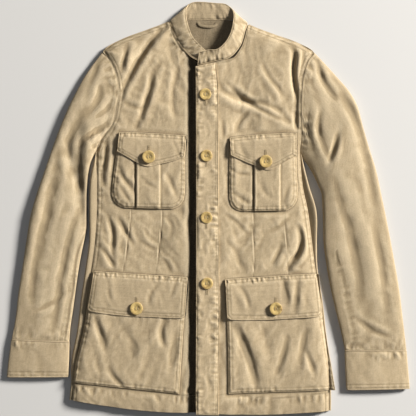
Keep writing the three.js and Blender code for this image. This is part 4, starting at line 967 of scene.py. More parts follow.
class FrontCloth:
    """The finished surface of one front."""

    def __init__(self, side):
        self.front = FRONTS[side]
        self.side = side
        self.seed = FRONT_SEEDS[side]
        rows = self.front.rows
        self.neck = edge_path(rows, "cx", "cy", 40, SHOULDER - 1)
        self.hem = Path(HEM_STITCH[side]).smoothed(30)
        self.tucks = [Path(points).smoothed(24) for points in WAIST_TUCKS[side]]

    def height(self, x, y):
        """Upper side of the front; where something is laid on it the surface stays plain."""
        front, seed = self.front, self.seed
        base = front.height(x, y)
        distance, _, passed = front.outline.nearest(x, y)
        clear = front.clear(x, y)
        inward = ease(distance / 16)
        detail = crumple(x, y, seed, math.radians(74 * front.outward), 1.0) * inward
        detail += puckers(distance, passed, seed + 3, 0.62, 8.5, 17)
        hem, _, hem_passed = self.hem.nearest(x, y)
        detail += puckers(hem, hem_passed, seed + 4, 1.3, 8, 22)
        detail += groove(hem) + groove(distance - STITCH_IN) + groove(distance - STITCH_SECOND)
        detail += (fold_shoulders(front.folds, x, y) + creased("front_" + self.side, x, y)) * inward
        neck, _, neck_passed = self.neck.nearest(x, y)
        detail += puckers(neck, neck_passed, seed + 6, 0.8, 7, 22) + groove(neck - STITCH_IN)
        for k, tuck in enumerate(self.tucks):
            away, along, tuck_passed = tuck.nearest(x, y)
            ends = swell(along, 0.06) ** 0.25
            beside = tuck.moved(-TUCK_RIDGE_FROM).nearest(x, y)[0]
            detail += (0.7 * bump_at(beside, TUCK_HALF) - TUCK_DEPTH * bump_at(away, TUCK_HALF)
                       + puckers(away, tuck_passed, seed + 8 + k, 0.3, 11, 15)) * ends
        sunk = 0.0
        if self.side == "right":
            wander = UNDERLAP_WANDER * smooth_noise(y / 70, y * 0, UNDERLAP_SEED)
            sunk = UNDERLAP_SINK * ease((x + UNDERLAP_FROM + 4 + wander) / 15)
            detail = detail * (1 - 0.8 * ease((x + UNDERLAP_FROM) / 10))
        return base + detail * clear - sunk

    def tone(self, x, y):
        """Painted light on the front: painted shade beside whatever is laid on it and along its tucks, hem
        and neck seams, a painted highlight on each tuck's ridge, and a painted shadow beside the placket.
        """
        tone = np.ones(np.shape(x))
        # Painted shade beside each pocket and flap.
        for outline in self.front.laid_on:
            distance, _, _ = outline.nearest(x, y)
            tone -= 0.6 * bump_at(distance, 2.6)
        # Along each tuck: a painted highlight on its ridge and painted shade in its groove.
        for tuck in self.tucks:
            away, along, _ = tuck.nearest(x, y)
            beside = tuck.moved(-TUCK_RIDGE_FROM).nearest(x, y)[0]
            lengthwise = swell(along) ** 0.25
            tone += (0.2 * bump_at(beside, TUCK_HALF) - 0.5 * bump_at(away, 1.8)) * lengthwise
        # Painted shade along the hem stitching and the neck seam.
        tone -= 0.3 * bump_at(np.abs(self.hem.nearest(x, y)[0]), 1.8)
        tone -= 0.3 * bump_at(np.abs(self.neck.nearest(x, y)[0]), 3.0)
        # Painted shadow of the placket on the sunk underlap.
        if self.side == "right":
            tone -= 0.74 * ease((x + UNDERLAP_FROM + 9) / 18)
        return tone


def front_piece(context, side, step):
    """One front as a wall of cloth."""
    cloth = FrontCloth(side)
    rows = dict(cloth.front.rows)
    rows["sx"] = rows["sx"] - cloth.front.outward * SEAM_GAP
    x, y, t, edge = panel_grid(rows, step, "sx sy cx cy")
    y = y - edge["bow"][:, None] * np.sin(math.pi * t)
    z = cloth.height(x, y)
    distance = cloth.front.outline.nearest(x, y)[0]
    from_bottom = Path(np.stack([x[0], y[0]], axis=1)).nearest(x, y)[0]
    from_centre = np.abs(x - edge["cx"][:, None])
    drop = rounded_edge(distance - SEAM_GAP, 0.6) + rounded_edge(from_bottom, 0.7)
    drop = drop + rounded_edge(from_centre)
    outer = np.stack([x, y, z + drop], axis=2)
    inner = outer - np.array([0, 0, layer_of(context)])
    inner[:, :, 2] -= drop
    # Darker towards the bottom edge, and painted shade in the stitching grooves.
    tone = cloth.tone(x, y) - 0.1 * (1 - ease(from_bottom / 30))
    tone -= sum(painted_groove_shade(distance, row) for row in STITCH_ROWS)
    return cloth_wall("front_%s_cloth" % side, outer, inner, tone=tone), cloth


def stitch_piece(name, runs, **sizes):
    points, faces = stitch_mesh(runs, **sizes)
    piece = new_object(name, points, faces)
    select_only(piece)
    bpy.ops.object.shade_smooth()
    return piece


def button_dimple(place, x, y):
    """Cloth drawn in a little round the buttons of a placket or flap."""
    pull = np.zeros(np.shape(x))
    for _, bx, by, across, on in BUTTONS:
        if on == place:
            pull -= 0.45 * bump_at(np.hypot(x - bx, (y - by) * 0.8), across * 0.85)
    return pull


POCKET_EDGE_SEAT = 0.6
LAID_GAP = 0.3
PLEAT_TURN = 6.0


class PocketCloth:
    """The finished surface of one patch pocket."""

    def __init__(self, place):
        self.place = place
        self.outline = POCKET_OUTLINES[place]
        self.front = FrontCloth(SIDE_OF[place])
        self.seed = 101 + 31 * list(POCKETS).index(place)

    def height(self, x, y):
        distance, _, passed = self.outline.nearest(x, y)
        detail = crumple(x, y, self.seed, math.radians(62), 0.8) * ease((distance - 1) / 14)
        detail += puckers(distance, passed, self.seed + 3, 0.5, 8, 15)
        detail += groove(distance - STITCH_IN) + groove(distance - STITCH_SECOND)
        if self.place in PLEATS:
            centre, half = PLEATS[self.place]
            left = x - centre + half
            detail -= 1.5 * bump_at(np.abs(left + 2.2), 2.6) * ease(distance / PLEAT_TURN)
            detail += 0.6 * bump_at(np.abs(left - 2.0), 4.0) * ease(distance / PLEAT_TURN)
            detail -= 0.5 * bump_at(np.abs(x - centre - half - 1.6), 2.0) * ease(distance / PLEAT_TURN)
        sharpness = 0.15 if self.place.startswith("lower") else 0.6
        detail += fold_shoulders(FOLDS[self.place], x, y, sharpness) * sharpness * ease(distance / 9)
        detail += creased(self.place, x, y) * ease(distance / 9)
        under_flap, _, _ = FLAP_OUTLINES[self.place].nearest(x, y)
        covered = FLAP_OUTLINES[self.place].inside(x, y) * ease(under_flap / 6)
        detail = detail * (1 - 0.85 * covered) - 0.8 * covered
        detail = detail - POCKET_EDGE_SEAT * (1 - ease(distance / 4))
        return above(self.front.height(x, y) + CLOTH + LAID_GAP, pocket_height(self.place, x, y) + detail)


def laid_points(cloth, rows, step, keys="lx ly rx ry"):
    """Points over a laid panel, with the distance of each from the panel's edge."""
    x, y, _, _ = panel_grid(rows, step, keys)
    return x, y, cloth.height(x, y), cloth.outline.nearest(x, y)[0]


def laid_wall(context, name, points, tone, seat=0.35):
    """A panel laid on another: its turned edges fall away above and reach down to what they lie on."""
    x, y, z, distance = points
    outer = np.stack([x, y, z + rounded_edge(distance)], axis=2)
    inner = np.stack([x, y, z - layer_of(context) - seat * bump_at(distance, 4.0)], axis=2)
    return cloth_wall(name, outer, inner, tone=tone)


def pocket_piece(context, place, step):
    cloth = PocketCloth(place)
    points = laid_points(cloth, POCKETS[place], step)
    x, distance = points[0], points[3]
    # A paler worn edge, and painted shade in the stitching groove.
    wear_and_painted_light = 1 + worn_edge(distance - 0.8) - painted_groove_shade(distance, STITCH_IN + 0.6)
    if place in PLEATS:
        centre, half = PLEATS[place]
        # Painted shade along the pleat's left edge and a painted highlight along its right edge.
        wear_and_painted_light -= 0.6 * bump_at(np.abs(x - centre + half + 2.0), 2.4) * ease(distance / 5)
        wear_and_painted_light += 0.14 * bump_at(np.abs(x - centre - half + 1.0), 1.8) * ease(distance / 5)
    return laid_wall(context, "pocket_%s_cloth" % place, points, wear_and_painted_light), cloth


FLAP_LEVEL = {"chest": 2.6, "lower": 2.4}


class FlapCloth:
    """The finished surface of one pocket flap."""

    def __init__(self, place):
        self.place = place
        self.outline = FLAP_OUTLINES[place]
        self.pocket = PocketCloth(place)
        self.seed = 301 + 17 * list(FLAPS).index(place)

    def height(self, x, y):
        distance, _, passed = self.outline.nearest(x, y)
        detail = crumple(x, y, self.seed, math.radians(80), 0.6) * ease(distance / 10)
        detail += creased("flap_" + self.place, x, y) * ease(distance / 7)
        detail += puckers(distance, passed, self.seed + 3, 0.42, 7.5, 13)
        top = flap_seam(self.place).nearest(x, y)
        detail += puckers(top[0], top[2], self.seed + 7, 0.8, 6, 15)
        detail += groove(distance - STITCH_IN) + groove(distance - STITCH_SECOND)
        on_pocket = self.pocket.outline.inside(x, y)
        low = np.where(on_pocket, self.pocket.height(x, y), self.pocket.front.height(x, y))
        low = low + CLOTH + LAID_GAP
        from_seam = flap_seam(self.place).nearest(x, y)[0]
        level = self.pocket.front.front.height(x, y) + FLAP_LEVEL[self.place[:5]] * ease(from_seam / 13)
        high = mix(level + 2 * LAYER_GAP + 2 * CLOTH, flap_height(self.place, x, y), 0.2)
        return above(low, high + detail + button_dimple(self.place, x, y))


def flap_piece(context, place, step):
    cloth = FlapCloth(place)
    points = laid_points(cloth, FLAPS[place], step, "tx ty bx by")
    distance = points[3]
    # A paler worn edge, and painted shade in the stitching grooves.
    wear_and_painted_light = 1 + worn_edge(distance) - sum(painted_groove_shade(distance, row) for row in STITCH_ROWS)
    return laid_wall(context, "flap_%s_cloth" % place, points, wear_and_painted_light, 0.5), cloth


PLACKET_LIFT = 1.0
PLACKET_ROWS = (1.5, 5.5)


class PlacketCloth:
    """The finished surface of the placket."""

    def __init__(self):
        self.outline = outline_of(PLACKET)
        self.left = edge_path(PLACKET, "lx", "ly", 40)
        self.right = edge_path(PLACKET, "rx", "ry", 40)
        self.front = FrontCloth("left")

    def height(self, x, y):
        left, _, left_passed = self.left.nearest(x, y)
        right, _, right_passed = self.right.nearest(x, y)
        distance = self.outline.nearest(x, y)[0]
        inward = ease(distance / 7)
        detail = PLACKET_LIFT * inward + crumple(x, y, PLACKET_SEED, math.radians(78), 0.8) * inward
        detail += creases(x, y, PLACKET_SEED + 20, math.radians(70), 24, 9) * 0.45 * ease(distance / 6)
        detail += puckers(left, left_passed, PLACKET_SEED + 3, 0.75, 9, 18)
        detail += puckers(right, right_passed, PLACKET_SEED + 6, 0.9, 8, 22)
        detail += groove(left - STITCH_IN) + sum(groove(right - row, 0.7) for row in PLACKET_ROWS)
        low = self.front.height(x, y) + CLOTH + LAID_GAP
        return above(low, placket_height(x, y) + detail + button_dimple("placket", x, y))


def placket_piece(context, step):
    cloth = PlacketCloth()
    points = laid_points(cloth, PLACKET, step)
    x, y, _, distance = points
    # Lighter overall with a paler worn edge, and painted shade in the stitching grooves.
    tone = 1.15 + worn_edge(distance, 1.8) - painted_groove_shade(distance, STITCH_IN)
    from_right = cloth.right.nearest(x, y)[0]
    tone -= sum(painted_groove_shade(from_right, row, 0.3) for row in PLACKET_ROWS)
    return laid_wall(context, "placket_cloth", points, tone), cloth


# Sleeves: the seam between the two panels shows a little way in from the inner edge
SLEEVE_SEAMS = {
    "right": [(-228, -42.8), (-241.3, -67.5), (-250.8, -99.8), (-256.5, -156.8), (-262.2, -185.3),
              (-266, -213.8), (-269.8, -232.8), (-271.7, -251.8)],
    "left": [(243.2, -82.7), (254.6, -128.3), (262.2, -170), (269.8, -204.3), (277.4, -240.4),
             (283.1, -270.8)],
}
# Lines of painted shade on the sleeves in pixels of the photo, each with its reach in millimetres and how
# much darker the cloth is painted there
SLEEVE_PAINTED_SHADES = {
    "right": [([(90, 118), (83, 140), (83, 190), (88, 232)], 20, 0.42),
              ([(80, 240), (73, 290), (68, 335)], 16, 0.15)],
    "left": [([(330, 70), (362, 130), (378, 200), (392, 300)], 20, 0.12),
             ([(312, 120), (320, 160), (332, 200)], 18, 0.2)],
}
# Painted light: the right sleeve painted lighter and the left one darker all over.
SLEEVE_PAINTED_LIGHT = {"right": 1.07, "left": 0.96}
CUFF_FILLING = 0.4
ARMHOLE_REACH = 0.3
FOLDS_FROM_ARMHOLE = 60.0
EDGE_TRIM = 0.005


def tube_points(rows, places, steps, folds=(), armhole_rows=None):
    """Points round a flattened sleeve or cuff: steps 0 to 9 over it, from 9 to 18 back beneath."""
    half = ARMHOLE_STEPS
    steps = np.asarray(steps, dtype=float)
    over = steps <= half
    s = np.where(over, steps, 2 * half - steps)
    share = (1 - np.cos(math.pi * s / half)) / 2
    side = np.maximum(np.sin(math.pi * s / half), 0)
    section = {key: values[:, None] for key, values in resample(rows, places).items()}
    first = {key: values[0] for key, values in rows.items()}
    mean_x, mean_y = mix(first["ix"], first["ox"], share), mix(first["iy"], first["oy"], share)
    seam_x, seam_y = mean_x, mean_y
    if armhole_rows is not None:
        seam = resample(armhole_rows, UNDERARM + (SHOULDER - UNDERARM) * s / half)
        seam_x, seam_y = seam["sx"], seam["sy"]
    held = 1 - ease(places / (len(rows["ox"]) - 1) / ARMHOLE_REACH)[:, None]
    x = mix(section["ix"], section["ox"], share) + (seam_x - mean_x) * held
    y = mix(section["iy"], section["oy"], share) + (seam_y - mean_y) * held
    middle = np.minimum(MID_EDGE, section["crown"] / 2)
    start = ((first["ox"] + first["ix"]) / 2, (first["oy"] + first["iy"]) / 2)
    fade = side * ease(np.hypot(x - start[0], y - start[1]) / FOLDS_FROM_ARMHOLE)
    top = mix(middle, section["crown"], side ** TOP_ROUNDNESS) - fold_depth(folds, x, y) * fade
    under = middle * (1 - side ** UNDER_ROUNDNESS)
    return x, y, np.where(over, top, under), side


def inwards_of(sheet, faces_up, ring=False):
    """Unit normals into a tube, from a sheet whose middle faces up or down."""
    normals = sheet_normals(sheet, ring)
    middle = normals[len(sheet) // 2, sheet.shape[1] // 2, 2]
    return normals * (-math.copysign(1, middle) if faces_up else math.copysign(1, middle))


def sampled_run(path, sheet, from_mm=0.0, to_mm=None):
    """A line laid on a sheet of points, with the sheet's upward normals."""
    end = path.length if to_mm is None else to_mm
    x, y = path.at(np.arange(from_mm, end, 1.5))
    flat = sheet.reshape(-1, 3)
    normals = sheet_normals(sheet).reshape(-1, 3)
    normals = normals * np.sign(normals[:, 2:])
    points, ups = [], []
    for px, py in zip(x, y):
        away = np.hypot(flat[:, 0] - px, flat[:, 1] - py)
        near = np.argpartition(away, 4)[:4]
        weight = 1 / (away[near] + 0.05)
        weight /= weight.sum()
        points.append((px, py, float(weight @ flat[near, 2])))
        ups.append(weight @ normals[near])
    return np.array(points), np.array(ups)


def row_run(rows, step, start=True, end=True):
    """Places along a sleeve's table, dense at its ends."""
    fine = np.linspace(0, len(rows["ox"]) - 1, 300)
    line = resample(rows, fine)
    mx, my = (line["ox"] + line["ix"]) / 2, (line["oy"] + line["iy"]) / 2
    run = running(np.hypot(np.diff(mx), np.diff(my)))
    at = spread(run[-1], step, start, end)
    return np.interp(at, run, fine), at, run[-1]


def sleeve_pieces(context, side, step):
    """The two panels of one sleeve and the lines of stitching on the upper one."""
    rows = SLEEVES[side]
    front = FRONTS[side]
    folds = FOLDS["sleeve_" + side]
    places, at, length = row_run(rows, step)
    thickness = layer_of(context)
    seed = SLEEVE_SEEDS[side]
    armhole = edge_path(front.rows, "sx", "sy", 60, UNDERARM, SHOULDER)
    seam = Path(SLEEVE_SEAMS[side]).smoothed(30)
    lean = math.radians(SLEEVE_LEANS[side])
    pieces = []
    for label, low in (("top", 0), ("under", ARMHOLE_STEPS)):
        count = int(round((100 if label == "top" else 60) / step))
        v = np.linspace(0, 1, count + 1)
        steps = low + EDGE_TRIM + (ARMHOLE_STEPS - 2 * EDGE_TRIM) * (0.35 * v + 0.65 * ease(v))
        x, y, z, level = tube_points(rows, places, steps, folds, front.rows)
        if label == "top":
            to_armhole, _, passed = armhole.nearest(x, y)
            inward = ease(to_armhole / 14) * ease((length - at) / 12)[:, None]
            detail = crumple(x, y, seed, lean, 0.7) + creased("sleeve_" + side, x, y)
            detail = detail * inward * level ** 0.7
            detail += puckers(to_armhole, passed, seed + 3, 1.2, 9.5, 30) * level ** 0.5
            far = np.broadcast_to((length - at)[:, None], x.shape)
            detail += puckers(far, x * 1.02, seed + 5, 1.2, 8.5, 30) * level ** 0.5
            to_seam, _, seam_passed = seam.nearest(x, y)
            detail += (0.5 * bump_at(np.abs(to_seam - 4.0), 4.0) - 0.9 * bump_at(to_seam, 3.4)) * level
            detail += puckers(to_seam, seam_passed, seed + 8, 0.35, 9, 14)
            z = z + detail + rounded_edge(to_armhole, 0.6)
        outer = np.stack([x, y, z], axis=2)
        inner = outer + inwards_of(outer, label == "top") * thickness
        for column, toward in ((0, 4), (-1, -5)):
            level_way = outer[:, toward] - outer[:, column]
            level_way[:, 2] = 0
            inner[:, column] = outer[:, column] + unit(level_way) * thickness
        tone = np.full(x.shape, SLEEVE_PAINTED_LIGHT[side])
        if label == "top":
            # A paler worn ridge beside the armhole, painted shade in the armhole seam and its stitching
            # groove, and painted shade along the sleeve seam.
            tone += worn_edge(np.abs(to_armhole - 3.0)) - painted_groove_shade(to_armhole, 0, 0.5)
            tone -= painted_groove_shade(to_armhole, 5.5, 0.15) + 0.2 * bump_at(to_seam, 2.8)
            # Painted shade along the lines given for each sleeve.
            for points, reach, amount in SLEEVE_PAINTED_SHADES[side]:
                away, along, _ = Path(from_pixels(points)).smoothed(20).nearest(x, y)
                tone -= amount * bump_at(away, reach) * swell(along, 0.1)
        pieces.append((cloth_wall("%s_sleeve_%s_cloth" % (label, side), outer, inner, tone=tone), outer))
    return pieces, seam


def cuff_piece(context, side, step):
    """A cuff: a closed band of two layers."""
    rows = CUFFS[side]
    places, at, length = row_run(rows, step)
    count = int(round(250 / step / 1.4))
    v = np.arange(count) / count * 2
    half = v % 1
    steps = ARMHOLE_STEPS * (np.floor(v) + 0.35 * half + 0.65 * ease(half))
    x, y, z, level = tube_points(rows, places, steps)
    seed = CUFF_SEEDS[side]
    far = np.broadcast_to(at[:, None], x.shape)
    near_hem = length - far
    detail = crumple(x, y, seed, math.radians(88), 0.5) * ease(far / 8) * ease(near_hem / 8)
    detail += puckers(far, x, seed + 3, 0.9, 8, 24) + puckers(near_hem, x * 0.97, seed + 5, 0.6, 7.5, 18)
    detail += groove(near_hem - STITCH_IN - 2) + groove(near_hem - STITCH_SECOND - 3)
    detail += groove(far - STITCH_IN)
    over = steps <= ARMHOLE_STEPS
    edge = rounded_edge(np.minimum(far, near_hem), 0.55, 1.2)
    outer = np.stack([x, y, z + detail * np.where(over, 1, 0.0) * level ** 0.6], axis=2)
    normals = sheet_normals(outer, ring=True)
    middle = normals[len(places) // 2, int(np.argmin(np.abs(steps - ARMHOLE_STEPS / 2)))]
    outward = normals * math.copysign(1, middle[2])
    thickness = layer_of(context) + CUFF_FILLING
    inner = outer - outward * thickness
    outer = outer + outward * edge[:, :, None]
    outer[:, :, 2] = np.maximum(outer[:, :, 2], 0.0)
    # A paler worn edge, and painted shade in the stitching grooves.
    tone = 1.03 + worn_edge(np.minimum(far, near_hem), 1.8)
    tone -= painted_groove_shade(near_hem, STITCH_IN + 2, 0.3) + painted_groove_shade(near_hem, STITCH_SECOND + 3, 0.25)
    tone -= painted_groove_shade(far, STITCH_IN, 0.3)
    return cloth_wall("cuff_%s_cloth" % side, outer, inner, ring=True, tone=tone)


COLLAR_BELLY = 0.8
COLLAR_THICK = 1.8
COLLAR_EDGE_PLACES = 8
COLLAR_STITCHED = 1.9


def collar_piece(context, step):
    """The stand collar, and the lines of stitching along its outer side."""
    fine = np.linspace(0, 17, 400)
    line = resample(COLLAR, fine)
    steps = np.sqrt(sum(np.diff(line[key]) ** 2 for key in ("bx", "by", "bz")))
    run = running(steps)
    at = spread(run[-1], step)
    c = {key: values[:, None] for key, values in resample(COLLAR, np.interp(at, run, fine)).items()}
    width = np.sqrt((c["tx"] - c["bx"]) ** 2 + (c["ty"] - c["by"]) ** 2 + (c["tz"] - c["bz"]) ** 2)
    count = int(round(14 / step))
    edge = EDGE_PLACES[:COLLAR_EDGE_PLACES]
    share = np.concatenate([edge * 0, np.linspace(0, 1, count + 1)[1:-1], edge * 0 + 1])
    zone = edge[-1]
    fixed = np.concatenate([edge, np.full(count - 1, zone), 2 * zone - edge[::-1]])
    t = (fixed + share * (width - 2 * zone)) / width
    belly = COLLAR_BELLY * np.sin(math.pi * t)
    middle = np.stack([mix(c["bx"], c["tx"], t), mix(c["by"], c["ty"], t),
                       mix(c["bz"], c["tz"], t) + belly], axis=2)
    normals = sheet_normals(middle)
    outward = normals * math.copysign(1, normals[5, middle.shape[1] // 2, 2])
    from_base, from_top = t * width, (1 - t) * width
    passed = np.broadcast_to(at[:, None], t.shape)
    from_ends = np.minimum(passed, run[-1] - passed)
    near_edge = np.minimum(np.minimum(from_base, from_top), from_ends)
    detail = puckers(from_base, passed, COLLAR_SEED, 0.8, 8, 20)
    detail += puckers(from_top, passed, COLLAR_SEED + 4, 0.7, 7, 16)
    detail += crumple(passed, from_base * 1.5, COLLAR_SEED + 8, 1.4, 0.95) * ease(near_edge / 6)
    stitched = sum(groove(side - STITCH_IN) for side in (from_top, from_base, from_ends))
    half = COLLAR_THICK / 2 + rounded_edge(near_edge, 0.55, 1.3)
    outer = middle + outward * (half + detail + stitched)[:, :, None]
    inner = middle + outward * (detail - half - stitched)[:, :, None]
    # A paler worn edge, and painted shade in the stitching groove.
    tone = 1.02 + worn_edge(near_edge, 1.8) - painted_groove_shade(near_edge, STITCH_IN + 0.5, 0.3)
    piece = cloth_wall("collar_cloth", outer, inner, tone=tone, relief=relief_of(detail + stitched))
    runs = []
    inset = slice(6, -6)
    stitched_place = edge.tolist().index(COLLAR_STITCHED)
    for column in (stitched_place, -1 - stitched_place):
        runs.append((outer[inset, column], outward[inset, column]))
        runs.append((inner[inset, column], -outward[inset, column]))
    return piece, runs


BACK_EASE = 0.25


def back_curve(places):
    """Control points over each side of the back at places along its rows: x and height, right and left."""
    below = places < UNDERARM
    share = clamp((places - UNDERARM) / (SHOULDER - UNDERARM))
    low = MID_EDGE - CLOTH - SEAM_GAP
    height = np.where(share < 1, np.minimum(armhole_bottom(share), low), low)
    sides = []
    for rows, side_rows in ((RIGHT_FRONT, RIGHT_SIDE), (LEFT_FRONT, LEFT_SIDE)):
        outward = math.copysign(1, rows["sx"][0])
        front = resample(rows, places)
        side = resample(side_rows, np.minimum(places, UNDERARM))
        from_front = np.where(below, BACK_EASE, -(SEAM_GAP + BACK_EASE))
        seam = front["sx"] + outward * from_front
        edge = np.where(below, side["edge"], seam)
        crest = np.where(below, side["crest"], height)
        seam_height = np.where(below, side["height"], height)
        from_edge = np.minimum(np.abs(edge - seam) * 0.4, 2.5)
        points = [(seam, seam_height), (edge - outward * from_edge, crest * 0.97), (edge, crest * 0.5),
                  (edge - outward * SIDE_ROLL * 0.25, crest * 0.12), (edge - outward * SIDE_ROLL, crest * 0)]
        sides.append((points, front["sy"]))
    return sides


LEAST_HEIGHT = 0.05
NECK_BOW = 9.0
HEM_BOW = -11.0
HEM_ROWS = 3


def back_piece(context, step):
    """The back: flat below, rolled up at its sides to the fronts."""
    fine = np.linspace(0, LAST_ROW, 500)
    ys = resample(RIGHT_FRONT, fine)["sy"]
    xs = resample(RIGHT_FRONT, fine)["sx"]
    run = running(np.hypot(np.diff(ys), np.diff(xs)))
    at = spread(run[-1], step)
    places = np.interp(at, run, fine)
    (right, right_y), (left, left_y) = back_curve(places)
    roll_steps = np.linspace(0, 4, 15)
    lines = []
    for points in (right, left[::-1]):
        xs = np.stack([p[0] for p in points])
        zs = np.stack([p[1] for p in points])
        weights = np.stack([resample({"w": np.eye(5)[k]}, roll_steps)["w"] for k in range(5)])
        lines.append((weights.T @ xs, np.maximum(weights.T @ zs, 0)))
    (rx, rz), (lx, lz) = lines
    count = int(round(460 / step))
    t = np.linspace(0, 1, count + 1)[1:-1][:, None]
    x = np.concatenate([rx, mix(rx[-1], lx[0], t), lx]).T
    z = np.concatenate([rz, t * np.zeros(len(places)), lz]).T
    y = np.concatenate([rx * 0 + right_y, mix(right_y, left_y, t), lx * 0 + left_y]).T
    bow = NECK_BOW * ease((places - SHOULDER) / 4) + HEM_BOW * (1 - ease(places / HEM_ROWS))
    across = np.concatenate([rx[:, :1] * 0, t, rx[:, :1] * 0 + 1]).T
    y = y + bow[:, None] * np.sin(math.pi * across) ** 0.3
    outer = np.stack([x, y, z], axis=2)
    thickness = layer_of(context)
    normals = sheet_normals(outer)
    up = math.copysign(1, normals[len(places) // 2, x.shape[1] // 2, 2])
    inner = outer + normals * up * thickness
    below = places < UNDERARM
    for column in (0, -1):
        outer[below, column, 2] = np.maximum(outer[below, column, 2], thickness)
        inner[below, column] = outer[below, column] - np.array([0, 0, thickness])
    inner[:, :, 2] = np.maximum(inner[:, :, 2], LEAST_HEIGHT)
    flat = ease((z.max() * 0.02 + 1e-6 - z) * 50 + 1)
    waves = clamp(crumple(x, y, BACK_SEED, 0.4, 0.5) + 0.2, 0, 1.2)
    inner[:, :, 2] += flat * waves * ease((at[-1] - at) / 12)[:, None]
    # Painted shade over the back inside the neck.
    neck_shade_mask = ease((y - 285) / 20) * (1 - ease((np.abs(x) - 60) / 20))
    tone = 0.97 - 0.45 * neck_shade_mask
    return cloth_wall("back_cloth", inner, outer, tone=tone, relief=relief_of(inner[:, :, 2]))


def hanger_piece(context):
    """The hanger loop: a narrow folded strip that arches a little off the back."""
    route = Path([(-19, 353), (-16, 348), (-8, 345.5), (3, 344.5), (12, 346), (17, 351)]).smoothed(48)
    at = np.linspace(0, route.length, 48)
    x, y = route.at(at)
    dx, dy = np.gradient(x), np.gradient(y)
    size = np.hypot(dx, dy)
    strip_half = 2.5
    across = np.array([-1, -0.9, -0.6, 0, 0.6, 0.9, 1])
    lift = 0.5 * np.sin(math.pi * at / route.length)
    base = CLOTH + LAYER_GAP + CLOTH
    px = x[:, None] - dy[:, None] / size[:, None] * across * strip_half
    py = y[:, None] + dx[:, None] / size[:, None] * across * strip_half
    pz = base + lift[:, None] - 0.45 * np.abs(across) ** 4
    outer = np.stack([px, py, pz + 0 * px], axis=2)
    inner = outer.copy()
    inner[:, :, 2] = base + lift[:, None] - 1.1
    # The loop is painted darker as shade.
    return cloth_wall("hanger_loop_cloth", outer, inner, tone=0.6)


# Buttonholes: two rows of close stitches beside a slit, longer than the button is wide
def buttonhole_runs(height, x, y_from, y_to):
    """Close bars of thread on both sides of an upright slit, as one short run each."""
    ys = np.arange(y_from, y_to, 0.62)
    up = np.tile((0.0, 0.0, 1.0), (2, 1))
    runs = []
    for side in (-1, 1):
        inner = np.full(len(ys), x + side * 0.45)
        outer = np.full(len(ys), x + side * 2.2)
        inner_z, outer_z = height(inner, ys) + 0.18, height(outer, ys) + 0.18
        for k, y in enumerate(ys):
            runs.append((np.array([(inner[k], y, inner_z[k]), (outer[k], y, outer_z[k])]), up))
    return runs


def thread_runs(x, y, z, spread_mm):
    """Thread through the four holes: two bundles side by side."""
    runs = []
    for side in (-1, 1):
        for strand in (-0.45, 0, 0.45):
            px = x + side * spread_mm + strand
            points = np.array([(px, y - spread_mm - 0.4, z - 0.25), (px, y, z + 0.25 - abs(strand) * 0.3),
                               (px, y + spread_mm + 0.4, z - 0.25)])
            runs.append((points, np.tile((0.0, 0.0, 1.0), (3, 1))))
    return runs


BUTTON_THICK = 3.0
HOLE_HALF = 1.0
HOLE_SPREAD = 0.2
SUNK = 0.95
SUNK_STEP = 0.12
THREAD_HALF = 0.28
RIM_SHARES = (0.18, 0.22, 0.14)
RIM_BEVEL = 0.9
SOFT_BEVEL = 0.22


def select_faces(piece, chosen):
    """Selects the faces whose centre and normal pass a test; edit mode is on."""
    bpy.ops.mesh.select_mode(type="FACE")
    bpy.ops.mesh.select_all(action="DESELECT")
    work = bmesh.from_edit_mesh(piece.data)
    found = 0
    for face in work.faces:
        if chosen(face.calc_center_median(), face.normal):
            face.select_set(True)
            found += 1
    if not found:
        raise RuntimeError("no face to shape on " + piece.name)
    bmesh.update_edit_mesh(piece.data)


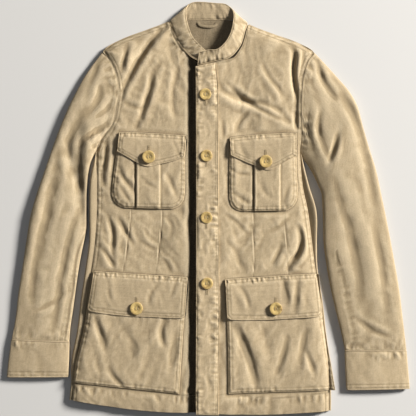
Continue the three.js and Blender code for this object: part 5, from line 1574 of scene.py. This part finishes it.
def horn_button(name, x, y, low, across):
    """A sewn-through button: a wide rounded rim, a sunk middle and four holes."""
    radius = across / 2 * MM
    thick = BUTTON_THICK * MM
    centre = ((x + SHIFT_X) * MM, (y + SHIFT_Y) * MM, low + thick / 2)
    deselect_all()
    bpy.ops.mesh.primitive_cylinder_add(vertices=48, radius=radius, depth=thick, location=centre)
    piece = bpy.context.object
    piece.name = name + "_horn"
    bpy.ops.object.transform_apply(location=True, rotation=True, scale=True)
    top = low + thick
    bpy.ops.object.mode_set(mode="EDIT")
    select_faces(piece, lambda at, normal: normal.z > 0.9 and at.z > top - thick * 0.1)
    for share in RIM_SHARES:
        bpy.ops.mesh.inset(thickness=radius * share)
    bpy.ops.transform.translate(value=(0, 0, -SUNK * MM))
    bpy.ops.mesh.inset(thickness=radius * 0.1)
    bpy.ops.transform.translate(value=(0, 0, -SUNK_STEP * MM))
    bpy.ops.mesh.select_all(action="DESELECT")
    bpy.ops.mesh.select_mode(type="EDGE")
    work = bmesh.from_edit_mesh(piece.data)
    for edge in work.edges:
        away = [math.hypot(v.co.x - centre[0], v.co.y - centre[1]) for v in edge.verts]
        if min(away) > radius * 0.985 and abs(edge.verts[0].co.z - edge.verts[1].co.z) < thick * 0.1:
            edge.select_set(True)
    bmesh.update_edit_mesh(piece.data)
    bpy.ops.mesh.bevel(offset=RIM_BEVEL * MM, segments=4, profile=0.55)
    bpy.ops.object.mode_set(mode="OBJECT")
    cutters = []
    for side_x in (-1, 1):
        for side_y in (-1, 1):
            deselect_all()
            spread_m = across / 2 * HOLE_SPREAD * MM
            at = (centre[0] + side_x * spread_m, centre[1] + side_y * spread_m, centre[2])
            bpy.ops.mesh.primitive_cylinder_add(
                vertices=16, radius=HOLE_HALF * MM, depth=thick * 3, location=at)
            cutters.append(bpy.context.object)
    for cutter in cutters:
        select_only(piece)
        cut = piece.modifiers.new("hole", "BOOLEAN")
        cut.operation = "DIFFERENCE"
        cut.solver = "EXACT"
        cut.object = cutter
        bpy.ops.object.modifier_apply(modifier=cut.name)
    for cutter in cutters:
        bpy.data.objects.remove(cutter, do_unlink=True)
    select_only(piece)
    soften = piece.modifiers.new("soft edges", "BEVEL")
    soften.width = SOFT_BEVEL * MM
    soften.segments = 2
    soften.limit_method = "ANGLE"
    soften.angle_limit = math.radians(32)
    bpy.ops.object.modifier_apply(modifier=soften.name)
    bpy.ops.object.shade_smooth_by_angle(angle=math.radians(40))
    return piece


# Finishes: expressions on sockets build the Math nodes
class Value:
    """A number or link in a material, with arithmetic."""

    def __init__(self, graph, socket):
        self.graph, self.socket = graph, socket

    def made(self, operation, *others):
        return self.graph.node("ShaderNodeMath", {"operation": operation}, dict(enumerate([self, *others])))

    def __add__(self, other):
        return self.made("ADD", other)

    def __sub__(self, other):
        return self.made("SUBTRACT", other)

    def __mul__(self, other):
        return self.made("MULTIPLY", other)

    __radd__ = __add__

    def clamped(self):
        kept = self.made("MULTIPLY", 1.0)
        kept.socket.node.use_clamp = True
        return kept

    def sine(self):
        return self.made("SINE")


class Graph:
    """The nodes of one material."""

    def __init__(self, name):
        self.material = bpy.data.materials.new(name)
        self.material.use_nodes = True
        self.tree = self.material.node_tree
        self.tree.nodes.clear()
        self.output = self.tree.nodes.new("ShaderNodeOutputMaterial")

    def node(self, kind, settings=None, inputs=None, output=0):
        """Any node: its settings first, then values or links of its sockets."""
        made = self.tree.nodes.new(kind)
        for key, value in (settings or {}).items():
            if key == "stops":
                ramp = made.color_ramp
                while len(ramp.elements) < len(value):
                    ramp.elements.new(0.5)
                for element, (position, colour) in zip(ramp.elements, value):
                    element.position = position
                    element.color = (*colour, 1.0)
            else:
                setattr(made, key, value)
        for key, value in (inputs or {}).items():
            if isinstance(value, Value):
                self.tree.links.new(value.socket, made.inputs[key])
            else:
                made.inputs[key].default_value = value
        return Value(self, made.outputs[output])

    def noise(self, where, scale, detail=2.0, roughness=0.5, distortion=0.0):
        return self.node("ShaderNodeTexNoise", None, {
            "Vector": where, "Scale": scale, "Detail": detail, "Roughness": roughness,
            "Distortion": distortion})

    def attribute(self, name):
        return self.node("ShaderNodeAttribute", {"attribute_name": name}, None, "Fac")

    def blend(self, factor, a, b, kind="MIX"):
        settings = {"data_type": "RGBA", "blend_type": kind}
        return self.node("ShaderNodeMix", settings, {0: factor, 6: a, 7: b}, 2)

    def finish(self, inputs):
        shader = self.node("ShaderNodeBsdfPrincipled", None, inputs)
        self.tree.links.new(shader.socket, self.output.inputs["Surface"])
        return self.material


TWILL_PITCH = 0.0009
YARN_PITCH = 0.00045


def cotton_drill(name, colour, light, painted_shade_colour):
    """Washed cotton drill: a fine twill, faded ridges, painted shade in hollows and cloudy wear."""
    graph = Graph(name)
    place = graph.node("ShaderNodeTexCoord", None, None, "Object")
    cut = graph.node("ShaderNodeUVMap", {"uv_map": "cut"})
    parts = graph.tree.nodes.new("ShaderNodeSeparateXYZ")
    graph.tree.links.new(cut.socket, parts.inputs[0])
    u, v = Value(graph, parts.outputs[0]), Value(graph, parts.outputs[1])
    ribs = ((u + v) * (2 * math.pi / TWILL_PITCH)).sine()
    yarns = ((u - v * 0.6) * (2 * math.pi / YARN_PITCH)).sine()
    relief = graph.attribute("relief")
    # The tone attribute holds the cloth's own tone together with painted shade and painted highlights.
    tone = graph.attribute("tone")
    cloud = graph.noise(place, 11.0, 4.0, 0.6) - 0.5
    patch = graph.noise(place, 42.0, 3.0, 0.55) - 0.5
    slub = graph.noise(place, 420.0, 2.0, 0.6) - 0.5
    lengthwise = graph.node("ShaderNodeCombineXYZ", None, {0: u, 1: v * 0.07})
    streaks = graph.noise(lengthwise, 330.0, 3.0, 0.7) - 0.5
    shade = (tone + cloud * 0.16 + patch * 0.14 + slub * 0.42 + streaks * 0.34 + ribs * 0.02)
    # Ridges fade paler with wear; hollows are darkened towards the deep colour as painted shade.
    wear_and_painted_light = (relief * 3.0 + patch * 0.4).clamped()
    hollow_painted_shade = (relief * -3.0 + patch * 0.2).clamped()
    faded = graph.blend(wear_and_painted_light * 0.5, (*colour, 1.0), (*light, 1.0))
    deep = graph.blend(hollow_painted_shade * 0.45, faded, (*painted_shade_colour, 1.0))
    grey = graph.node("ShaderNodeCombineColor", None, {0: shade, 1: shade, 2: shade})
    tinted = graph.blend(1.0, deep, grey, "MULTIPLY")
    surface = ribs * 0.5 + yarns * 0.25 + slub * 2.4 + patch * 1.2
    bump = graph.node("ShaderNodeBump", None, {"Strength": 0.55, "Distance": 0.00011, "Height": surface})
    return graph.finish({
        "Base Color": tinted, "Normal": bump, "Roughness": 0.93, "Specular IOR Level": 0.22,
        "Sheen Weight": 0.12, "Sheen Roughness": 0.55, "Sheen Tint": (*light, 1.0)})


def thread(name, colour):
    """Cotton sewing thread, in a shade near the cloth's."""
    graph = Graph(name)
    place = graph.node("ShaderNodeTexCoord", None, None, "Object")
    uneven = graph.noise(place, 260.0, 2.0) - 0.5
    fibres = graph.noise(place, 2400.0, 2.0, 0.7)
    tinted = graph.blend((uneven * 1.6 + 0.45).clamped(), (*colour, 1.0),
                         tuple(c * 0.72 for c in colour) + (1.0,))
    bump = graph.node("ShaderNodeBump", None, {"Strength": 0.5, "Distance": 0.00006, "Height": fibres})
    return graph.finish({"Base Color": tinted, "Normal": bump, "Roughness": 0.72, "Sheen Weight": 0.15})


def horn(name, pale, brown):
    """Polished horn look: cloudy streaks between pale gold and brown under a soft gloss."""
    graph = Graph(name)
    place = graph.node("ShaderNodeTexCoord", None, None, "Object")
    streaks = graph.noise(place, 95.0, 4.0, 0.6, 1.6)
    clouds = graph.noise(place, 38.0, 2.0)
    grain = graph.noise(place, 900.0, 2.0)
    colour = graph.node("ShaderNodeValToRGB", {"stops": [
        (0.3, brown), (0.46, tuple(mix(a, b, 0.6) for a, b in zip(brown, pale))), (0.62, pale)]},
        {"Fac": streaks * 0.75 + clouds * 0.25})
    rough = 0.3 + grain * 0.16
    bump = graph.node("ShaderNodeBump", None, {"Strength": 0.25, "Distance": 0.00004, "Height": grain})
    return graph.finish({"Base Color": colour, "Roughness": rough, "Normal": bump, "Coat Weight": 0.25,
                         "Coat Roughness": 0.18})


def plain_floor(name, colour):
    """A pale matt floor."""
    graph = Graph(name)
    place = graph.node("ShaderNodeTexCoord", None, None, "Object")
    even = graph.noise(place, 5.0, 2.0) - 0.5
    darker = tuple(c * 0.985 for c in colour) + (1.0,)
    tinted = graph.blend((even * 0.2 + 0.5).clamped(), (*colour, 1.0), darker)
    return graph.finish({"Base Color": tinted, "Roughness": 0.9, "Specular IOR Level": 0.1})


def finish_of(kind):
    """The scene's material of one kind, made when it is first asked for."""
    scene = bpy.context.scene
    name = kind.replace(" ", "_")
    if name in bpy.data.materials:
        return bpy.data.materials[name]
    cloth, trim, stage = scene.jacket_cloth, scene.jacket_trim, scene.jacket_stage
    makers = {
        "cotton drill": lambda: cotton_drill(
            name, tuple(cloth.colour), tuple(cloth.faded), tuple(cloth.deep)),
        "sewing thread": lambda: thread(name, tuple(trim.thread)),
        "button horn": lambda: horn(name, tuple(trim.pale), tuple(trim.brown)),
        "pale floor": lambda: plain_floor(name, tuple(stage.floor)),
    }
    return makers[kind]()


# What a user would change
def colour_setting(name, description, default):
    return FloatVectorProperty(
        name=name, description=description, subtype="COLOR", size=3, min=0, max=1, default=default)


def length_setting(name, description, default, **limits):
    return FloatProperty(
        name=name, description=description, default=default, subtype="DISTANCE", unit="LENGTH", **limits)


def power_setting(name, description, default):
    return FloatProperty(name=name, description=description, default=default, min=0, unit="POWER")


class JacketCloth(bpy.types.PropertyGroup):
    thickness: length_setting(
        "Thickness", "Thickness of one layer of drill", 0.0012, min=0.001, max=0.003)
    step: length_setting(
        "Step", "Spacing of the points that shape the fronts", 0.0027, min=0.0015, max=0.008)
    colour: colour_setting("Colour", "Colour of the drill", (0.47, 0.37, 0.235))
    faded: colour_setting("Faded", "Colour where folds and edges have faded", (0.62, 0.51, 0.345))
    # The deep colour is painted into hollows as shade.
    deep: colour_setting("Deep", "Colour in hollows and beside seams", (0.27, 0.20, 0.11))


class JacketTrim(bpy.types.PropertyGroup):
    thread: colour_setting("Thread", "Colour of the sewing thread", (0.42, 0.33, 0.19))
    pale: colour_setting("Pale horn", "Pale streaks of the buttons", (0.66, 0.49, 0.19))
    brown: colour_setting("Brown horn", "Brown streaks of the buttons", (0.24, 0.13, 0.04))


class JacketStage(bpy.types.PropertyGroup):
    floor: colour_setting("Floor", "Colour of the floor", (0.68, 0.675, 0.665))
    key_power: power_setting("Key light", "Power of the far light on the right", 1420.0)
    fill_power: power_setting("Fill light", "Power of the soft light above", 5.0)
    surround: FloatProperty(
        name="Surround", description="Strength of the even light from all round", default=0.09, min=0, max=2)
    frame_width: length_setting(
        "Frame width", "Width of the surface that the picture shows", 0.7904, min=0.1)
    camera_height: length_setting("Camera height", "Height of the camera over the surface", 1.7, min=0.5)


# Spacing in millimetres of the points that shape each kind of piece; the fronts have their own setting
BACK_STEP = 5.0
PLACKET_STEP = 1.9
COLLAR_STEP = 1.9
SLEEVE_STEP = 2.3
CUFF_STEP = 1.7
CHEST_POCKET_STEP = 1.8
LOWER_POCKET_STEP = 2.2
FLAP_STEP = 1.8


def keep_cloth(piece, node, sheet=True):
    """Gives a finished cloth piece its body and finish, and hides the solid of its node."""
    piece.data.materials.append(finish_of("cotton drill"))
    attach(piece, "root")
    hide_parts(node)
    if not sheet:
        return
    width, length, area = CUTS[piece.name]
    min(area, width * length)


def keep_stitches(name, runs, **sizes):
    """Makes stitches along runs and gives them their body and finish."""
    piece = stitch_piece(name, runs, **sizes)
    piece.data.materials.append(finish_of("sewing thread"))
    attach(piece, "root")


def keep_buttonholes(name, cloth, place, way):
    """Buttonholes at the buttons of a placket or flap; way is 1 up from the button and -1 down."""
    holes = []
    for _, x, y, across, on in BUTTONS:
        if on == place:
            ends = sorted((y - way * BUTTONHOLE_OVER, y + way * (across / 2 + BUTTONHOLE_SPARE)))
            holes += buttonhole_runs(cloth.height, x, *ends)
    keep_stitches(name, holes, **BUTTONHOLE_STITCH)


class JACKET_OT_back(bpy.types.Operator):
    """Make the back and the hanger loop inside its neck"""
    bl_idname = "jacket.back"
    bl_label = "Back"

    def execute(self, context):
        keep_cloth(back_piece(context, BACK_STEP), "back")
        keep_cloth(hanger_piece(context), "hanger_loop", sheet=False)
        return {"FINISHED"}


class JACKET_OT_fronts(bpy.types.Operator):
    """Make the two fronts with their stitching"""
    bl_idname = "jacket.fronts"
    bl_label = "Fronts"

    def execute(self, context):
        step = context.scene.jacket_cloth.step * 1000
        for side in ("right", "left"):
            piece, cloth = front_piece(context, side, step)
            keep_cloth(piece, "front_" + side)
            runs = []
            for inset in STITCH_ROWS:
                line = cloth.front.outline.moved(cloth.front.outward * (inset + SEAM_GAP))
                runs.append(surface_run(line, cloth.height, 12, line.length - 6))
            runs.append(surface_run(cloth.hem, cloth.height, 5, cloth.hem.length - 5))
            keep_stitches("stitches_front_" + side, runs)
        return {"FINISHED"}


class JACKET_OT_placket(bpy.types.Operator):
    """Make the placket with its stitching and buttonholes"""
    bl_idname = "jacket.placket"
    bl_label = "Placket"

    def execute(self, context):
        piece, cloth = placket_piece(context, PLACKET_STEP)
        keep_cloth(piece, "placket")
        runs = [surface_run(cloth.left.moved(-STITCH_IN), cloth.height, 3, cloth.left.length - 3)]
        for inset in PLACKET_ROWS:
            runs.append(surface_run(cloth.right.moved(inset), cloth.height, 3, cloth.right.length - 3))
        keep_stitches("stitches_placket", runs)
        keep_buttonholes("buttonholes_placket", cloth, "placket", -1)
        return {"FINISHED"}


class JACKET_OT_collar(bpy.types.Operator):
    """Make the stand collar with its stitching"""
    bl_idname = "jacket.collar"
    bl_label = "Collar"

    def execute(self, context):
        piece, runs = collar_piece(context, COLLAR_STEP)
        keep_cloth(piece, "collar")
        keep_stitches("stitches_collar", runs)
        return {"FINISHED"}


class JACKET_OT_sleeves(bpy.types.Operator):
    """Make the upper and under panels of both sleeves"""
    bl_idname = "jacket.sleeves"
    bl_label = "Sleeves"

    def execute(self, context):
        for side in ("right", "left"):
            panels, seam = sleeve_pieces(context, side, SLEEVE_STEP)
            for label, (piece, _) in zip(("top", "under"), panels):
                keep_cloth(piece, "%s_sleeve_%s" % (label, side))
            top = panels[0][1]
            runs = [sampled_run(seam.moved(by), top, 6, seam.length - 4) for by in (-2.2, 2.2)]
            keep_stitches("stitches_sleeve_" + side, runs)
        return {"FINISHED"}


class JACKET_OT_cuffs(bpy.types.Operator):
    """Make the cuffs"""
    bl_idname = "jacket.cuffs"
    bl_label = "Cuffs"

    def execute(self, context):
        for side in ("right", "left"):
            keep_cloth(cuff_piece(context, side, CUFF_STEP), "cuff_" + side)
        return {"FINISHED"}


class JACKET_OT_pockets(bpy.types.Operator):
    """Make the four patch pockets with their stitching"""
    bl_idname = "jacket.pockets"
    bl_label = "Pockets"

    def execute(self, context):
        for place in POCKETS:
            step = CHEST_POCKET_STEP if place in PLEATS else LOWER_POCKET_STEP
            piece, cloth = pocket_piece(context, place, step)
            keep_cloth(piece, "pocket_" + place)
            keep_stitches("stitches_pocket_" + place, pocket_runs(cloth))
        return {"FINISHED"}


def pocket_runs(cloth):
    """Two rows of stitching down, along and up a pocket, inside its edge."""
    rows = POCKETS[cloth.place]
    bag = Path(np.concatenate([points_of(rows, "lx", "ly"), points_of(rows, "rx", "ry")[::-1]]))
    runs = []
    for inset in STITCH_ROWS:
        line = bag.moved(inset)
        runs.append(surface_run(line, cloth.height, 4, line.length - 4))
    return runs


class JACKET_OT_flaps(bpy.types.Operator):
    """Make the four pocket flaps with their stitching and buttonholes"""
    bl_idname = "jacket.flaps"
    bl_label = "Flaps"

    def execute(self, context):
        for place in FLAPS:
            piece, cloth = flap_piece(context, place, FLAP_STEP)
            keep_cloth(piece, "flap_" + place)
            top = flap_seam(place)
            low = points_of(FLAPS[place], "bx", "by")
            free = Path(np.concatenate([top.points[:1], low, top.points[-1:]]))
            runs = []
            for inset in STITCH_ROWS:
                for line in (free.moved(inset), top.moved(-inset)):
                    runs.append(surface_run(line, cloth.height, inset, line.length - inset))
            keep_stitches("stitches_flap_" + place, runs)
            keep_buttonholes("buttonhole_" + place, cloth, place, 1)
        return {"FINISHED"}


class JACKET_OT_buttons(bpy.types.Operator):
    """Make the eight buttons and the thread through their holes"""
    bl_idname = "jacket.buttons"
    bl_label = "Buttons"

    def execute(self, context):
        for name, x, y, across, _ in BUTTONS:
            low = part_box(name)[0][2]
            piece = horn_button(name, x, y, low, across)
            piece.data.materials.clear()
            piece.data.materials.append(finish_of("button horn"))
            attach(piece, "root")
            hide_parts(name)
            sunk = low / MM + BUTTON_THICK - SUNK - SUNK_STEP
            apart = across * HOLE_SPREAD
            keep_stitches("thread_" + name, thread_runs(x, y, sunk + 0.2, across / 2 * HOLE_SPREAD),
                          pitch=apart + 0.6, long=apart + 0.7, half=THREAD_HALF, high=THREAD_HALF)
        return {"FINISHED"}


FLOOR_SIZE = 8.0
FLOOR_LEVEL = -0.0006
KEY_PLACE = (6.2, 3.1, 2.9)
KEY_SIZE = 1.7
KEY_COLOUR = (1.0, 0.965, 0.91)
FILL_PLACE = (-0.9, 0.2, 2.6)
FILL_SIZE = 2.4
FILL_COLOUR = (0.97, 0.98, 1.0)
SKY_COLOUR = (0.93, 0.96, 1.0, 1.0)
CAMERA_X = -0.5 * MM
CAMERA_Y = -0.54 * MM
SENSOR_WIDTH = 36.0
MIDDLE_OF_CLOTH = 0.008


class JACKET_OT_stage(bpy.types.Operator):
    """Lay the pale floor and set the lights and the camera straight above"""
    bl_idname = "jacket.stage"
    bl_label = "Stage"

    def execute(self, context):
        stage = context.scene.jacket_stage
        deselect_all()
        bpy.ops.mesh.primitive_plane_add(size=FLOOR_SIZE, location=(0, 0, FLOOR_LEVEL))
        floor = context.object
        floor.name = "floor"
        bpy.ops.object.transform_apply(location=True, rotation=True, scale=True)
        floor.data.materials.append(finish_of("pale floor"))
        self.area_light("key", KEY_PLACE, KEY_SIZE, stage.key_power, KEY_COLOUR)
        self.area_light("fill", FILL_PLACE, FILL_SIZE, stage.fill_power, FILL_COLOUR)
        world = bpy.data.worlds.new("studio")
        context.scene.world = world
        world.use_nodes = True
        background = world.node_tree.nodes["Background"]
        background.inputs["Color"].default_value = SKY_COLOUR
        background.inputs["Strength"].default_value = stage.surround
        context.scene.view_settings.view_transform = "Standard"
        camera_data = bpy.data.cameras.new("camera")
        camera = bpy.data.objects.new("camera", camera_data)
        context.scene.collection.objects.link(camera)
        camera.location = (CAMERA_X, CAMERA_Y, stage.camera_height)
        camera_data.sensor_width = SENSOR_WIDTH
        camera_data.lens = SENSOR_WIDTH * (stage.camera_height - MIDDLE_OF_CLOTH) / stage.frame_width
        context.scene.camera = camera
        return {"FINISHED"}

    def area_light(self, name, place, size, power, colour):
        light = bpy.data.lights.new(name, "AREA")
        light.shape = "DISK"
        light.size = size
        light.energy = power
        light.color = colour
        lamp = bpy.data.objects.new(name, light)
        bpy.context.scene.collection.objects.link(lamp)
        lamp.location = place
        lamp.rotation_euler = (-Vector(place)).to_track_quat("-Z", "Y").to_euler()


class JACKET_PT_sidebar(bpy.types.Panel):
    """Sizes, colours and steps of the jacket"""
    bl_idname = "JACKET_PT_sidebar"
    bl_label = "Safari jacket"
    bl_space_type = "VIEW_3D"
    bl_region_type = "UI"
    bl_category = "Jacket"

    def draw(self, context):
        layout = self.layout
        scene = context.scene
        groups = {"Cloth": scene.jacket_cloth, "Trim": scene.jacket_trim, "Stage": scene.jacket_stage}
        for label, group in groups.items():
            box = layout.box()
            box.label(text=label)
            for key in group.__annotations__:
                box.prop(group, key)
        for operator in OPERATORS:
            layout.operator(operator.bl_idname)


GROUPS = {"jacket_cloth": JacketCloth, "jacket_trim": JacketTrim, "jacket_stage": JacketStage}
OPERATORS = (JACKET_OT_stage, JACKET_OT_back, JACKET_OT_fronts, JACKET_OT_placket, JACKET_OT_collar,
             JACKET_OT_sleeves, JACKET_OT_cuffs, JACKET_OT_pockets, JACKET_OT_flaps, JACKET_OT_buttons)


CLASSES = (*GROUPS.values(), *OPERATORS, JACKET_PT_sidebar)


def register():
    for part in CLASSES:
        bpy.utils.register_class(part)
    for name, group in GROUPS.items():
        setattr(bpy.types.Scene, name, PointerProperty(type=group))


def unregister():
    for name in GROUPS:
        delattr(bpy.types.Scene, name)
    for part in reversed(CLASSES):
        bpy.utils.unregister_class(part)


def main():
    register()
    bpy.ops.jacket.stage()
    bpy.ops.jacket.back()
    bpy.ops.jacket.fronts()
    bpy.ops.jacket.placket()
    bpy.ops.jacket.collar()
    bpy.ops.jacket.sleeves()
    bpy.ops.jacket.cuffs()
    bpy.ops.jacket.pockets()
    bpy.ops.jacket.flaps()
    bpy.ops.jacket.buttons()


if __name__ == "__main__":
    main()
